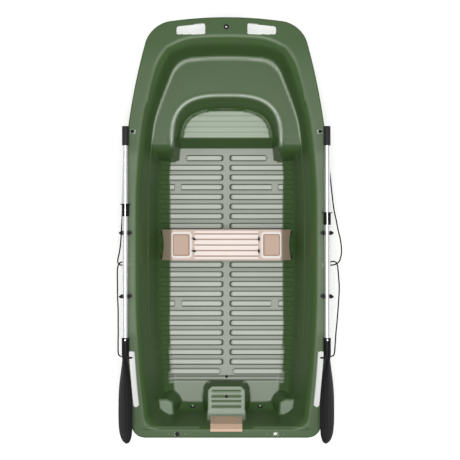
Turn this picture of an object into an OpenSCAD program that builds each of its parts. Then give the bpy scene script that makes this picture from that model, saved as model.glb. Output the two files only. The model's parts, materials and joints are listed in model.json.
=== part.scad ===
// Two-person rowing tender: twin-skin hull, thwart, two oars and lifelines.
// X points to starboard, Y to the bow, Z up. The origin is the middle of the footprint, on the ground.

/* [Hull] */
// Length of the gunwale, from transom edge to bow edge
length = 2500; // [2100:10:3100]
// Greatest width over the gunwale
beam = 1238; // [1050:2:1480]
// Width that the sides run out to at the bow
bow_beam = 884; // [760:2:1050]
// Width that the sides run out to at the stern
stern_beam = 1110; // [940:2:1330]
// Height of the gunwale above the keels
gunwale_h = 430; // [370:5:520]
// How much higher the bow is than the gunwale amidships
bow_rise = 30; // [0:5:60]
// Thickness of each plastic skin
skin = 4; // [3:0.5:5]
// Width of the flat gunwale
rim_w = 76; // [70:1:90]
// Depth of the turned-down gunwale lip
lip_h = 30; // [20:1:40]

/* [Cockpit] */
// Height of the tread above the keels
floor_h = 80; // [70:1:100]
// Depth of the channels in the tread
tread_depth = 8; // [5:1:10]
// Height of the bow platform and of the side ledges
ledge_h = 300; // [270:5:330]
// Height of the bow step
step_h = 170; // [150:5:200]
// Distance between two channels of the tread
tread_pitch = 60.6; // [50:0.2:70]
// Width of one channel
tread_slot = 33; // [24:1:40]

/* [Oars] */
// Outer diameter of an oar shaft
shaft_d = 34; // [30:0.5:38]
// Wall of an oar shaft
shaft_wall = 1.6; // [1:0.1:3]
// Height of the oar axis above the gunwale
oar_rise = 50; // [46:1:60]
// Width of a blade
blade_w = 130; // [110:1:150]
// Turn of the blade about the shaft
blade_roll = 45; // [35:1:55]

/* [Bench] */
// How far inside the foot of the cockpit sides the bench ends
bench_short = 22; // [16:1:40]
// Depth of the bench, fore and aft
bench_w = 190; // [160:1:220]
// Height of the bench top above the keels
bench_h = 250; // [220:5:280]
// Thickness of the bench plate
bench_t = 5; // [3:0.5:6]

/* [Lifelines] */
// Diameter of the rope
rope_d = 8; // [6:0.5:10]

/* [Hidden] */
green = "#4e7046";
black = "#262428";
tan = "#d8b49a";
silver = "#d9d9dc";
foam_colour = "#f2efe6";

// Outline of the gunwale
bow_crown = 22;
bow_corner = 130;
stern_corner = 70;
y_bow = length / 2 - bow_crown;
y_stern = -length / 2;
flat_fore = 100;
flat_aft = 300;
lip_t = 5;
wide_rim = 16;
bond = 0.7;
seat_gap = 0.4;
round_in = 120;
end_rim = 48;
bow_rim = 111;

// Side wall of the cockpit: distances inside the gunwale edge
wall_top = 31;
wall_ledge = 65;
ledge_w = 7;
wall_foot = 115;
wall_floor = 185;
cockpit_half = beam / 2 - rim_w;
floor_half = cockpit_half - wall_floor;
bow_stretch = 0.58;
stern_steep = 1.64;
channel_h = floor_h - tread_depth;

function clamp01(t) = max(0, min(1, t));
function ease(t) = let (s = clamp01(t)) s * s * (3 - 2 * s);
function soft_min(a, b, k) = let (h = max(k - abs(a - b), 0) / k) min(a, b) - h * h * k / 4;
function soft_max(a, b, k) = -soft_min(-a, -b, k);
function mix(a, b, t) = a + (b - a) * t;
function corner_cut(t, r) = r * (1 - sqrt(max(0, 1 - pow(clamp01(t / r), 2))));

// Half width of the sides without their rounded corners, and with them
function side(y) = beam / 2
    - (beam - bow_beam) / 2 * pow(max(0, y - flat_fore) / (y_bow - flat_fore), 2)
    - (beam - stern_beam) / 2 * pow(max(0, -y - flat_aft) / (-y_stern - flat_aft), 2);
function half_beam(y) = side(y) - corner_cut(y - y_bow + bow_corner, bow_corner)
    - corner_cut(y_stern + stern_corner - y, stern_corner);
bow_turn = y_bow - 628; // where the sides start to round in to the bow
function rim(y) = rim_w + wide_rim * ease((y - bow_turn) / 400);
function inner_edge(y) = side(y) - rim(y);
function crown(x) = bow_crown * max(0, 1 - pow(x / 320, 2));
function sheer(y) = gunwale_h + bow_rise * ease((y - bow_turn + 300) / 800);
function stretch(y) = 1 + bow_stretch * ease((y - bow_turn) / 430);

// How far a place is inside the cockpit opening, with rounded corners
function inside(x, y) = let (
        sides = (inner_edge(y) - abs(x)) / stretch(y),
        fore = (y_bow - bow_rim + crown(x) - y) / stretch(y_bow),
        aft = (y - y_stern - end_rim) * stern_steep)
    soft_min(soft_min(sides, fore, round_in), aft, round_in);

// Height of the cockpit wall at that distance
function wall(d, y) = let (
        top = sheer(y),
        ledge = ease((y - y_stern - 490) / 100),
        straight = [[wall_top, top - 26], [wall_foot, 130]])
    lookup(d, [
        [0, top], [wall_top, top - 26],
        [wall_ledge, mix(lookup(wall_ledge, straight), ledge_h, ledge)],
        [wall_ledge + ledge_w, mix(lookup(wall_ledge + ledge_w, straight), ledge_h, ledge)],
        [wall_foot, 130], [wall_floor, channel_h]]);

// Bow platform with its arched recess and step
lip_arch = [floor_half - 29, 289];
step_arch = [floor_half - 72, 223];
arch_y = y_bow - 714;
nose_y = arch_y - 99;
step_y = arch_y + 41;
step_foot = arch_y - 28;
function arch(x, y, size) = pow(pow(abs(x) / size.x, 3) + pow(max(0, y - arch_y) / size.y, 3), 1 / 3);
function nose(y) = let (s = clamp01((y - nose_y) / (arch_y - nose_y)))
    mix(channel_h - 20, ledge_h, sqrt(1 - pow(1 - s, 2)));
function step(y) = mix(channel_h - 20, step_h, clamp01((y - step_foot) / (step_y - step_foot)));
function bow_block(x, y) = let (
        out = arch(x, y, lip_arch),
        in = arch(x, y, step_arch))
    out >= 1 ? nose(y) : in <= 1 ? step(y)
    : mix(step(y), nose(y), (in - 1) / (in - 1 + 1 - out));

// Stern pods: distance outside a flat top, with rounded corners
side_pod_y = y_stern + 187;
side_pod = [inner_edge(side_pod_y) - 165.7, side_pod_y, 220, 78];
mid_pod = [(side_pod[0] - 112) / 2, y_stern + 273, 200, 46];
pod_zone = y_stern + 400;
function mid_pod_h(x, y) = let (
        dx = abs(x) - mid_pod[0] + 40,
        dy = y - mid_pod[1] + 40,
        far = norm([max(0, dx), max(0, dy)]) - 40)
    mix(mid_pod[2], channel_h - 20, ease(far / mid_pod[3]));
function side_pod_h(x, y) = let (
        dx = side_pod[0] + 30 - abs(x),
        dy = y - side_pod[1] + 30,
        far = norm([max(0, dx), max(0, dy)]) - 30)
    mix(side_pod[2], channel_h - 20, ease(far / side_pod[3]));

function liner_h(x, y) = max(wall(inside(x, y), y), y > nose_y - 100 ? bow_block(x, y) : 0,
    y < pod_zone ? max(mid_pod_h(x, y), side_pod_h(x, y)) : 0);

// Outer hull: distances inside the line where the topside leaves the gunwale
hull_gap = 4;
hull_profile = [[0, 0], [22, 0.58], [46, 0.8], [100, 0.92], [200, 0.98], [300, 1]];
keel_h = 20;
side_keel = floor_half - 54;
bow_profile = [
    [-828, -120], [-628, -30], [-478, 35], [-328, 115], [-188, 240], [-132, 330], [-107, 452]];
transom_in = 12;
function stern_line(x) = y_stern + transom_in + 28 * ease((abs(x) - 160) / 50);
function hull_in(x, y) = inner_edge(y) + hull_gap - abs(x);
function keel(x, y) = keel_h * ease((y_bow - 480 - y) / 200) * ease((y - y_stern - 90) / 120)
    * max(1 - ease((abs(x) - 12) / 14), 1 - ease((abs(abs(x) - side_keel) - 12) / 14));
function hull_bottom(x, y) = let (
        flange = sheer(y) - skin - bond - skin,
        sides = mix(flange, keel_h, lookup(hull_in(x, y), hull_profile)),
        fore = lookup(y - crown(x) - y_bow, bow_profile) * (gunwale_h + bow_rise) / 460,
        e = y - stern_line(x),
        aft = flange + lookup(e, [[0, 0], [8, -180], [26, -340], [90, -400], [200, -520]]))
    min(flange, soft_max(soft_max(sides, fore, 50), aft, 30) - keel(x, y));

// A skin between an upper and a lower height over a grid of lines
module height_shell(grid) {
    n = len(grid[0]);
    m = len(grid);
    upper = [for (row = grid, p = row) [p[0], p[1], p[2]]];
    lower = [for (row = grid, p = row) [p[0], p[1], p[3]]];
    k = n * m;
    polyhedron(concat(upper, lower), concat(
        [for (j = [0:m - 2], i = [0:n - 2]) let (a = j * n + i) each [[a, a + n, a + n + 1], [a, a + n + 1, a + 1]]],
        [for (j = [0:m - 2], i = [0:n - 2]) let (a = k + j * n + i) each [[a, a + n + 1, a + n], [a, a + 1, a + n + 1]]],
        [for (j = [0:m - 2]) let (a = j * n) each [[a, k + a, k + a + n], [a, k + a + n, a + n]]],
        [for (j = [0:m - 2]) let (a = j * n + n - 1) each [[a, a + n, k + a + n], [a, k + a + n, k + a]]],
        [for (i = [0:n - 2]) each [[i, i + 1, k + i + 1], [i, k + i + 1, k + i]]],
        [for (i = [0:n - 2]) let (a = (m - 1) * n + i) each [[a, k + a + 1, a + 1], [a, k + a, k + a + 1]]]));
}
function slope_gain(f, x, y) = let (
        dx = (f(x + 2, y) - f(x - 2, y)) / 4,
        dy = (f(x, y + 2) - f(x, y - 2)) / 4)
    min(5, sqrt(1 + dx * dx + dy * dy));
function mirrored(list) = concat([for (i = [len(list) - 1:-1:0]) -list[i]], [0], list);

// Lines of the liner: across and along
inner_x = [112, 163, 220, 265, 300, 336] / 358; // shares of the floor's half width
function rim_line(y) = min(inner_edge(y), half_beam(y) - 30);
function liner_x(y) = let (
        e = rim_line(y),
        s = stretch(y),
        foot = e - wall_floor * s)
    concat([for (x = inner_x) x * foot],
        [foot, e - 150 * s, e - wall_foot * s, e - 90 * s, e - (wall_ledge + ledge_w) * s,
         e - wall_ledge * s, e - wall_top * s, e,
         half_beam(y) - lip_t - 1, half_beam(y) - lip_t, half_beam(y)]);
// Lines amidships: the stretch between the pods and the bow block, 1200 long, takes up a change of length
function middle(e) = pod_zone + e * (y_bow - 878 - pod_zone) / 1200;
function aft_wall(d) = y_stern + end_rim + d / stern_steep;
liner_y = concat(
    [y_stern, y_stern + lip_t, y_stern + lip_t + 1, y_stern + 18, y_stern + 32, y_stern + end_rim],
    [for (d = [wall_top, wall_ledge, wall_ledge + ledge_w, wall_foot, 150, wall_floor]) aft_wall(d)],
    [for (e = [187, 210, 232, 250, 270, 288, 309]) y_stern + e],
    [for (e = [0, 75, 150, 350, 550, 750, 950, 1100]) middle(e)],
    [for (e = [-134, -109, -99, -87, -64, -46, -28, -14, 0, 21, 41, 71, 101, 131, 161, 186, 206, 226, 246, 266, 289, 316,
        336, 386, 406, 456, 466]) arch_y + e],
    [for (d = [wall_ledge, 45, wall_top * 0.6]) y_bow - bow_rim - d * stretch(y_bow)],
    [y_bow - bow_corner, y_bow - bow_rim, y_bow - 81],
    [for (a = [45, 61, 72]) y_bow - bow_corner + bow_corner * sin(a)],
    [y_bow - lip_t - 1, y_bow - lip_t, y_bow]);
function bent(x, y) = y + crown(x) * ease((y - y_bow + 278) / 150);

module liner_skin() {
    last = len(liner_y) - 1;
    grid = [for (j = [0:last]) let (
            line = mirrored(liner_x(liner_y[j])),
            n = len(line) - 1)
        [for (i = [0:n]) let (
                x = line[i],
                y = bent(x, liner_y[j]),
                top = liner_h(x, y),
                edge = min(i, n - i, j, last - j))
            [x, y, top, edge < 2 ? sheer(y) - lip_h
                : top - skin * (top > sheer(y) - 0.1 ? 1 : slope_gain(function(a, b) liner_h(a, b), x, y))]]];
    height_shell(grid);
}

// Raised tread of the cockpit floor with its channels
tread_first = nose_y + 22;
tread_aft = y_stern + 288;
tread_fore = nose_y + 63;
tread_rows = floor((tread_first - tread_aft - 65) / tread_pitch) + 1;
spine_w = 40;
tread_half = floor_half + 2;
module channel(side, row) {
    y = tread_first - row * tread_pitch;
    first = row == 0 ? 40 : 0;
    last = row == tread_rows - 1 ? 34 : 0;
    translate([0, y]) hull() {
        translate([side * (spine_w / 2 + last + tread_slot / 2), 0]) circle(d = tread_slot, $fn = 8);
        translate([side * (tread_half - 14 - first - tread_slot / 2), 0]) circle(d = tread_slot, $fn = 8);
    }
}
module tread() {
    translate([0, 0, channel_h - 1]) linear_extrude(tread_depth + 1) difference() {
        translate([-tread_half, tread_aft]) square([2 * tread_half, tread_fore - tread_aft]);
        for (side = [-1, 1], row = [0:tread_rows - 1]) channel(side, row);
        for (side = [-1, 1]) translate([side * (floor_half - 38) - 60, nose_y - 20]) square([120, 100]);
    }
    for (row = [0:3]) let (half = step_arch.x - 36 - row * 12)
        translate([-half, step_y + 20 + row * 34, step_h - 1]) cube([2 * half, 20, 5]);
    for (row = [0:3]) translate([12 - mid_pod[0], mid_pod[1] - 139 + row * 32, mid_pod[2] - 1])
        cube([2 * mid_pod[0] - 24, 18, 4]);
}

// Openings through the gunwale
handhold = [127, 293, y_bow - 80, y_bow - 17];
grab_y = [y_stern + 199, y_stern + 501];
grab_w = 28;
grab_bar = 26;
lock_x = beam / 2 - 23;
lock_y = [-30, -405];
fore_rope = [side(bow_turn - 27) - 29.9, bow_turn - 27];
mid_rope = [beam / 2 - 30, -218];
painter_y = y_bow - 36;
stern_hole = [292, y_stern + 24];
module handhold_cut(extra) {
    linear_extrude(2 * length) for (side = [-1, 1]) offset(delta = extra) polygon([
        [side * handhold[0], handhold[2]], [side * handhold[1], handhold[2]],
        [side * handhold[1], handhold[3] - 18], [side * handhold[0], handhold[3]]]);
}
module grab_cut(extra) {
    linear_extrude(2 * length) for (side = [-1, 1], part = [0:4]) hull() for (t = [part, part + 1])
        let (y = mix(grab_y[0], grab_y[1], t / 5))
        translate([side * (side(y) - grab_bar - grab_w / 2), y]) circle(grab_w / 2 + extra, $fn = 16);
}
hole_r = 11.8;
module round_holes(extra) {
    for (side = [-1, 1]) {
        for (y = lock_y) translate([side * lock_x, y, 0]) cylinder(r = hole_r + extra, h = 2 * length, $fn = 12);
        translate([side * fore_rope.x, fore_rope.y, 0]) cylinder(r = hole_r + extra, h = 2 * length, $fn = 12);
        translate([side * mid_rope.x, mid_rope.y, 0]) cylinder(r = hole_r + extra, h = 2 * length, $fn = 12);
        translate([side * stern_hole.x, stern_hole.y, 0]) cylinder(r = hole_r, h = 2 * length, $fn = 12);
    }
    translate([0, painter_y, 0]) cylinder(r = hole_r + extra, h = 2 * length, $fn = 12);
}
// Sloped foot of the transom, where the drains sit
drain_x = (mid_pod[0] + side_pod[0]) / 2 - 14;
drain_d = (wall_foot + wall_floor) / 2;
drain_tilt = atan2(130 - channel_h, (wall_floor - wall_foot) / stern_steep);
module at_drain(side) {
    translate([side * drain_x, aft_wall(drain_d), (130 + channel_h) / 2]) rotate([-drain_tilt, 0, 0]) children();
}
// Each skin is one moulding. It is modelled in five pieces, cut on planes between two channels and along the sides,
// so that each piece is a simple shape: 0 middle, -1 port side, 1 starboard side, "bow" and "stern".
seam = 0.1;
seam_aft = tread_first - (tread_rows - 1.5) * tread_pitch;
seam_fore = tread_first - tread_pitch / 2;
module zone(place, across) {
    far = 2 * length;
    low = place == "stern" ? -far : (place == "bow" ? seam_fore : seam_aft) + seam / 2;
    high = place == "bow" ? far : (place == "stern" ? seam_aft : seam_fore) - seam / 2;
    whole = place == "bow" || place == "stern";
    left = whole ? -far : place == 1 ? across + seam / 2 : place == -1 ? -far : seam / 2 - across;
    right = whole ? far : place == -1 ? -across - seam / 2 : place == 1 ? far : across - seam / 2;
    translate([left, low, -10]) cube([right - left, high - low, far]);
}
module cockpit_liner(place) {
    color(green) difference() {
        intersection() {
            union() {
                liner_skin();
                tread();
            }
            zone(place, floor_half + 4);
        }
        handhold_cut(0);
        grab_cut(0);
        round_holes(0);
        for (side = [-1, 1]) at_drain(side) translate([0, 0, -15]) cylinder(r = 12.5, h = 30, $fn = 12);
    }
}
hull_y = concat(
    [for (e = [9, 12, 18, 26, 40, 48, 66, 110, 170, 250]) y_stern + e],
    [for (e = [0, 150, 350, 550, 750, 950, 1100, 1200]) middle(e)],
    [for (e = [798, 718, 638, 558, 478, 398, 378, 328, 308, 258, 248, 188, 154, 132, 118, 107, 81, 38, 17, 9]) y_bow - e]);
function hull_x(y) = let (e = rim_line(y) + hull_gap)
    concat([12, 26, 120, 220, side_keel - 26, side_keel - 12, side_keel + 12, side_keel + 26] * min(1, e / 500),
        [e - 130, e - 100, e - 70, e - 46, e - 22, e - 10, e, half_beam(y) - lip_t - 4]);
module hull_skin() {
    grid = [for (yl = hull_y) [for (x = mirrored(hull_x(yl))) let (
            y = bent(x, yl),
            low = hull_bottom(x, y))
        [x, y, min(sheer(y) - skin - bond, low + skin * slope_gain(function(a, b) hull_bottom(a, b), x, y)), low]]];
    height_shell(grid);
}
module hull_shell(place) {
    color(green) difference() {
        intersection() {
            hull_skin();
            zone(place, cockpit_half - 103);
        }
        handhold_cut(2);
        grab_cut(2);
        round_holes(0.5);
    }
}

// Foam between the skins, each block seated under a level stretch of the liner
foam_top = skin + seat_gap;
module foam_bow() {
    side_line = [for (p = [[119, 26], [105, 126], [121, 346], [175, 446]]) [inner_edge(arch_y + p[1]) - p[0], arch_y + p[1]]];
    arch_line = [for (p = [[-129, 341], [-19, 291], [43, 166], [45, 26]]) [lip_arch.x, arch_y] + p];
    low = step_h + 45;
    color(foam_colour) translate([0, 0, low]) linear_extrude(ledge_h - foam_top - low) polygon(concat(
        side_line,
        [for (i = [3:-1:0]) [-side_line[i].x, side_line[i].y]],
        [for (i = [3:-1:0]) [-arch_line[i].x, arch_line[i].y]],
        arch_line));
}
module foam_floor(side) {
    bottom = keel_h + 12;
    near = 35;
    wide = floor_half - 88 - near;
    aft = y_stern + 410;
    color(foam_colour) translate([side > 0 ? near : -near - wide, aft, bottom])
        cube([wide, nose_y - 15 - aft, channel_h - foam_top - bottom]);
}
module foam_stern() {
    low = keel_h + 40;
    half = mid_pod[0] - 52;
    color(foam_colour) translate([-half, y_stern + 140, low]) cube([2 * half, 98, mid_pod[2] - foam_top - low]);
}

// Transom: wooden board between the skins, and the pads that a motor clamps on
pad_w = 190;
pad_t = 12;
board_y = y_stern + 22;
module transom_board() {
    color("#c8a36a") translate([-116, board_y, gunwale_h - 171])
        cube([232, 18, 171 - foam_top]);
}
wall_point = function(d) [aft_wall(d), lookup(d, [[0, gunwale_h], [wall_top, gunwale_h - 26], [wall_foot, 130]])];
module across(w) {
    translate([-w / 2, 0, 0]) rotate([90, 0, 90]) linear_extrude(w) children();
}
pad_low = 72;
pad_tilt = atan2(aft_wall(wall_foot) - aft_wall(wall_top), gunwale_h - 156);
pad_screw_x = pad_w / 2 - 18;
module motor_pad_inner() {
    gap = [seat_gap, seat_gap];
    wide = [pad_t, 2];
    color(tan) difference() {
        across(pad_w) polygon([
            [y_stern + 39, gunwale_h + seat_gap], wall_point(0) + gap, wall_point(wall_top) + gap,
            wall_point(pad_low) + gap, wall_point(pad_low) + wide, wall_point(wall_top) + wide,
            wall_point(0) + [6, 6], [y_stern + 39, gunwale_h + 6]]);
        inner_screws() cylinder(r = 3.2, h = 40, center = true);
    }
}
module inner_screws() {
    for (x = [-pad_screw_x, pad_screw_x], d = [39, 62])
        translate([x, wall_point(d).x + pad_t, wall_point(d).y + 2]) rotate([-90 + pad_tilt, 0, 0]) children();
}
function transom_y(z) = y_stern + transom_in + 8 * (gunwale_h - 8.7 - z) / 180;
module motor_pad_outer() {
    top = gunwale_h - lip_h - 6;
    low = top - 130;
    color(tan) difference() {
        across(pad_w) polygon([
            [transom_y(top) - seat_gap, top], [transom_y(low) - seat_gap, low],
            [transom_y(low) - seat_gap - pad_t, low], [transom_y(top) - seat_gap - pad_t, top]]);
        outer_screws() cylinder(r = 3.2, h = 40, center = true);
    }
}
module outer_screws() {
    top = gunwale_h - lip_h - 6;
    for (x = [-pad_screw_x, pad_screw_x], z = [top - 25, top - 105])
        translate([x, transom_y(z) - seat_gap - pad_t, z]) rotate([90 + atan(8 / 180), 0, 0]) children();
}
module pad_screw() {
    translate([0, 0, -pad_t + 3.5]) cylinder(r = 3, h = pad_t);
    difference() {
        translate([0, 0, 0.2]) cylinder(r = 6.5, h = 3.2);
        translate([-1, -8, 2]) cube([2, 16, 4]);
    }
}
module motor_pad_screws() {
    color(silver) {
        inner_screws() pad_screw();
        outer_screws() pad_screw();
    }
}

// A flanged bush that stands in a hole through both gunwale skins
bush_r = 11;
module bush(bore, flange, depth) {
    rotate_extrude() polygon([
        [bore, 2.5], [bore, -depth], [bush_r, -depth], [bush_r, 0.2], [flange, 0.2], [flange, 1.7],
        [flange - 0.8, 2.5]]);
}
module painter_bush() {
    color(black) translate([0, painter_y, sheer(painter_y)]) bush(6, 15, 14);
}
module drain_socket(side) {
    color(black) at_drain(side) rotate_extrude() polygon([
        [6.8, 3], [6.8, -22], [0, -22], [0, -26], [12, -26], [12, 0.9], [16.5, 0.9], [16.5, 2.4], [15, 3]]);
}
module drain_plug(side) {
    color("#b9beb8") at_drain(side) difference() {
        union() {
            translate([0, 0, -20]) cylinder(r = 6.5, h = 28);
            translate([0, 0, 3.3]) cylinder(r = 8, h = 2);
        }
        translate([-9, -1.2, 6]) cube([18, 2.4, 4]);
    }
}
module stern_bush(side) {
    color(side < 0 ? black : green) translate([side * stern_hole.x, stern_hole.y, gunwale_h]) bush(9.5, 13, 14);
}
module stern_hole_plug() {
    color(black) translate([-stern_hole.x, stern_hole.y, gunwale_h]) {
        translate([0, 0, -12]) cylinder(r = 9.2, h = 15);
        translate([0, 0, 2.8]) cylinder(r = 13.5, h = 3);
    }
}
module trim_screws() {
    color("#3a4a36") for (side = [-1, 1], x = [243, 341]) translate([side * x, stern_hole.y, gunwale_h + 0.3])
        difference() {
            cylinder(r = 5, h = 2);
            translate([-0.8, -6, 1]) cube([1.6, 12, 2]);
        }
}

// Rowlocks: a bush in the gunwale, the horned rowlock on its pin, and a retainer below
pin_r = 8;
pin_clear = 0.2;
lock_half = 25;
oar_z = gunwale_h + oar_rise;
lock_floor = oar_z - shaft_d / 2 - 0.4;
module rowlock_sockets(side) {
    color(black) for (y = lock_y) translate([side * lock_x, y, gunwale_h])
        bush(pin_r + pin_clear, 15, 40);
}
module rowlock(side, y) {
    foot = gunwale_h + 3;
    color(black) translate([side * lock_x, y, 0]) {
        intersection() {
            rotate([90, 0, 0]) linear_extrude(40, center = true) difference() {
                union() {
                    translate([-37, lock_floor - 2]) square([74, oar_z + 22 - lock_floor + 2]);
                    translate([0, lock_floor]) circle(r = 16);
                    polygon([[-37, lock_floor - 1], [-14, foot + 4], [14, foot + 4], [37, lock_floor - 1]]);
                }
                translate([-lock_half, lock_floor]) square([2 * lock_half, 100]);
            }
            linear_extrude(2 * oar_z) polygon([[-37, -3], [-22, -13.5], [22, -13.5], [37, -3], [37, 3],
                [22, 13.5], [-22, 13.5], [-37, 3]]);
        }
        translate([0, 0, foot]) cylinder(r = 13, h = lock_floor - foot - 4);
        translate([0, 0, gunwale_h - 52]) cylinder(r = pin_r, h = 56);
    }
}
module retainer(side, y) {
    color(silver) translate([side * lock_x, y, gunwale_h - 47]) difference() {
        cylinder(r = 13, h = 6.5);
        translate([0, 0, -1]) cylinder(r = pin_r + 0.05, h = 9);
        translate([0, -2, -1]) cube([20, 4, 9]);
    }
}
fore_tilt = atan((sheer(fore_rope.y + 1) - sheer(fore_rope.y - 1)) / 2);
module rope_grommets(side) {
    color("#5d7a55") {
        translate([side * fore_rope.x, fore_rope.y, sheer(fore_rope.y)]) rotate([fore_tilt, 0, 0])
            bush(7, 14, 12);
        translate([side * mid_rope.x, mid_rope.y, gunwale_h]) bush(7, 17, 12);
    }
}

// Oars, lying along the gunwale
grip_fore = 601;
grip_aft = 487;
shaft_fore = 590;
neck_fore = -649;
shaft_aft = -745;
blade_root = -757;
neck_r = shaft_d / 2 + 5;
collar_y = [105, 55];
collar_l = 74;
button_y = neck_fore - 12;
module along_oar(side, y) {
    translate([side * lock_x, y, oar_z]) rotate([90, 0, 0]) children();
}
module oar_grip(side) {
    color(black) along_oar(side, grip_fore) rotate_extrude() polygon([
        [0, 0], [shaft_d / 2, 0], [shaft_d / 2 + 3, 3], [shaft_d / 2 + 3, grip_fore - grip_aft - 4],
        [shaft_d / 2 + 4.5, grip_fore - grip_aft],
        [shaft_d / 2 + 0.15, grip_fore - grip_aft], [shaft_d / 2 + 0.15, grip_fore - shaft_fore - 0.3],
        [0, grip_fore - shaft_fore - 0.3]]);
}
module oar_shaft(side) {
    color(silver) difference() {
        along_oar(side, shaft_fore) difference() {
            cylinder(d = shaft_d, h = shaft_fore - shaft_aft);
            translate([0, 0, -1]) cylinder(r = shaft_d / 2 - shaft_wall, h = shaft_fore - shaft_aft + 2);
        }
        translate([side * lock_x, button_y, oar_z]) cylinder(r = 4.3, h = 40);
    }
}
// Blade sections: place along the oar, half width, half thickness, shift across
blade_rings = [[0, 0.32, 15, 0], [60, 0.36, 13, 0], [120, 0.5, 11, 0], [180, 0.7, 9, 0], [240, 0.88, 7.5, 0],
    [300, 0.97, 6.5, 0], [360, 1, 6, 0], [420, 0.98, 5.5, 0.01], [465, 0.88, 5, 0.03], [495, 0.68, 4.5, 0.06],
    [512, 0.42, 4, 0.09], [520, 0.12, 3, 0.12]];
module blade_body() {
    n = 16;
    last = len(blade_rings) - 1;
    points = [for (r = blade_rings, a = [0:n - 1]) let (t = 360 * a / n)
        [blade_w / 2 * (r[1] * cos(t) - r[3]), r[0], -r[2] * sin(t) * (1 - 0.35 * pow(cos(t), 2))]];
    polyhedron(points, concat(
        [[for (a = [0:n - 1]) a]],
        [[for (a = [n - 1:-1:0]) last * n + a]],
        [for (j = [0:last - 1], a = [0:n - 1]) let (b = (a + 1) % n)
            each [[j * n + a, (j + 1) * n + a, (j + 1) * n + b], [j * n + a, (j + 1) * n + b, j * n + b]]]));
}
module oar_blade(side) {
    color(black) difference() {
        union() {
            along_oar(side, neck_fore) cylinder(r = neck_r, h = neck_fore - blade_root + 8);
            translate([side * lock_x, blade_root + 4, oar_z]) rotate([0, side * blade_roll, 0])
                mirror([side < 0 ? 1 : 0, 0, 0]) mirror([0, 1, 0]) blade_body();
        }
        along_oar(side, neck_fore + 1) cylinder(r = shaft_d / 2 + 0.15, h = neck_fore - shaft_aft + 1.4);
        translate([side * lock_x, button_y, oar_z]) cylinder(r = 4.3, h = 40);
    }
}
module oar_collar(side, fore) {
    color(black) along_oar(side, fore) difference() {
        union() {
            cylinder(r = shaft_d / 2 + 5, h = collar_l);
            cylinder(r = shaft_d / 2 + 14, h = 5);
        }
        translate([0, 0, -1]) cylinder(r = shaft_d / 2 + 0.3, h = collar_l + 2);
        translate([-3, 0, -1]) cube([6, 60, collar_l + 2]);
    }
}
module snap_button(side) {
    color(silver) translate([side * lock_x, button_y, oar_z]) {
        translate([0, 0, 9]) cylinder(r = 4, h = neck_r - 9 + 2.5);
        translate([0, 0, 6]) cylinder(r = 6, h = 5);
    }
}
module shaft_plug(side) {
    color(foam_colour) along_oar(side, shaft_aft + 25) cylinder(r = shaft_d / 2 - shaft_wall - 0.2, h = 20);
}

// Bench: plate with sloped end panels that stand on the foot of the cockpit sides
bench_y = -104;
bench_foot = cockpit_half - wall_foot - bench_short;
panel_top = bench_foot - 69;
tray = [bench_foot - 185, bench_foot - 75];
tray_y = bench_w / 2 - 29;
slat_pitch = (bench_w - 20) / 5;
slat_half = tray[0] - 21;
bolt_x = tray[0] - 23;
bolt_y = bench_w / 2 - 58;
bearer = 25;
function bilge(x) = lookup(cockpit_half - x, [[wall_foot, 130], [wall_floor, channel_h]]);
foot_pad = 5;
module bench_profile(side) {
    low = bilge(bench_foot) + foot_pad + 2 * seat_gap;
    in_low = bilge(bench_foot - 20) + foot_pad + 2 * seat_gap;
    polygon([
        [0, bench_h], [side * panel_top, bench_h], [side * bench_foot, low],
        [side * (bench_foot - 20), in_low], [side * (panel_top - bench_t), bench_h - bench_t],
        [0, bench_h - bench_t]]);
}
module bench_top() {
    color(tan) difference() {
        union() {
            intersection() {
                translate([0, bench_y + bench_w / 2, 0]) rotate([90, 0, 0]) linear_extrude(bench_w) union() {
                    bench_profile(1);
                    bench_profile(-1);
                }
                translate([0, bench_y, 0]) linear_extrude(2 * bench_h) bench_outline();
            }
            for (side = [-1, 1]) translate([side > 0 ? tray[0] : -tray[1], bench_y - tray_y - 4, bench_h - 18])
                cube([tray[1] - tray[0], 2 * tray_y + 8, 21]);
        }
        for (side = [-1, 1]) translate([side > 0 ? tray[0] + 6 : 6 - tray[1], bench_y - tray_y + 2, bench_h - 14])
            cube([tray[1] - tray[0] - 12, 2 * tray_y - 4, 30]);
        for (row = [-1.5:1.5]) translate([-slat_half, bench_y + row * slat_pitch - 3.5, bench_h - 3])
            cube([2 * slat_half, 7, 10]);
        wing_bolt_places() cylinder(r = 3.3, h = 20, center = true);
    }
}
module bench_outline() {
    half = bench_foot;
    dip = 14; // how far the ends curve in between their corners
    polygon(concat(
        [for (t = [-1:0.25:1]) [half - dip * (1 - t * t), t * bench_w / 2]],
        [for (t = [1:-0.25:-1]) [-half + dip * (1 - t * t), t * bench_w / 2]]));
}
module wing_bolt_places() {
    for (x = [-bolt_x, bolt_x], y = [-bolt_y, bolt_y]) translate([x, bench_y + y, bench_h]) children();
}
module bench_bearer(y) {
    color(silver) difference() {
        translate([-tray[0] + 3, bench_y + y - bearer / 2, bench_h - bench_t - 0.3 - bearer])
            cube([2 * tray[0] - 6, bearer, bearer]);
        translate([-tray[0], bench_y + y - bearer / 2 + 2, bench_h - bench_t - 0.3 - bearer + 2])
            cube([2 * tray[0], bearer - 4, bearer - 4]);
        wing_bolt_places() cylinder(r = 3.3, h = 100, center = true);
    }
}
module bench_feet() {
    color(black) for (side = [-1, 1], y = [-bench_w / 2 + 4, bench_w / 2 - 24])
        translate([0, bench_y + y + 20, 0]) rotate([90, 0, 0]) linear_extrude(20) polygon([
            [side * bench_foot, bilge(bench_foot) + seat_gap],
            [side * bench_foot, bilge(bench_foot) + seat_gap + foot_pad],
            [side * (bench_foot - 16), bilge(bench_foot - 16) + seat_gap + foot_pad],
            [side * (bench_foot - 16), bilge(bench_foot - 16) + seat_gap]]);
}
wing_turn = [[-35, -12], [90, 90]];
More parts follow.
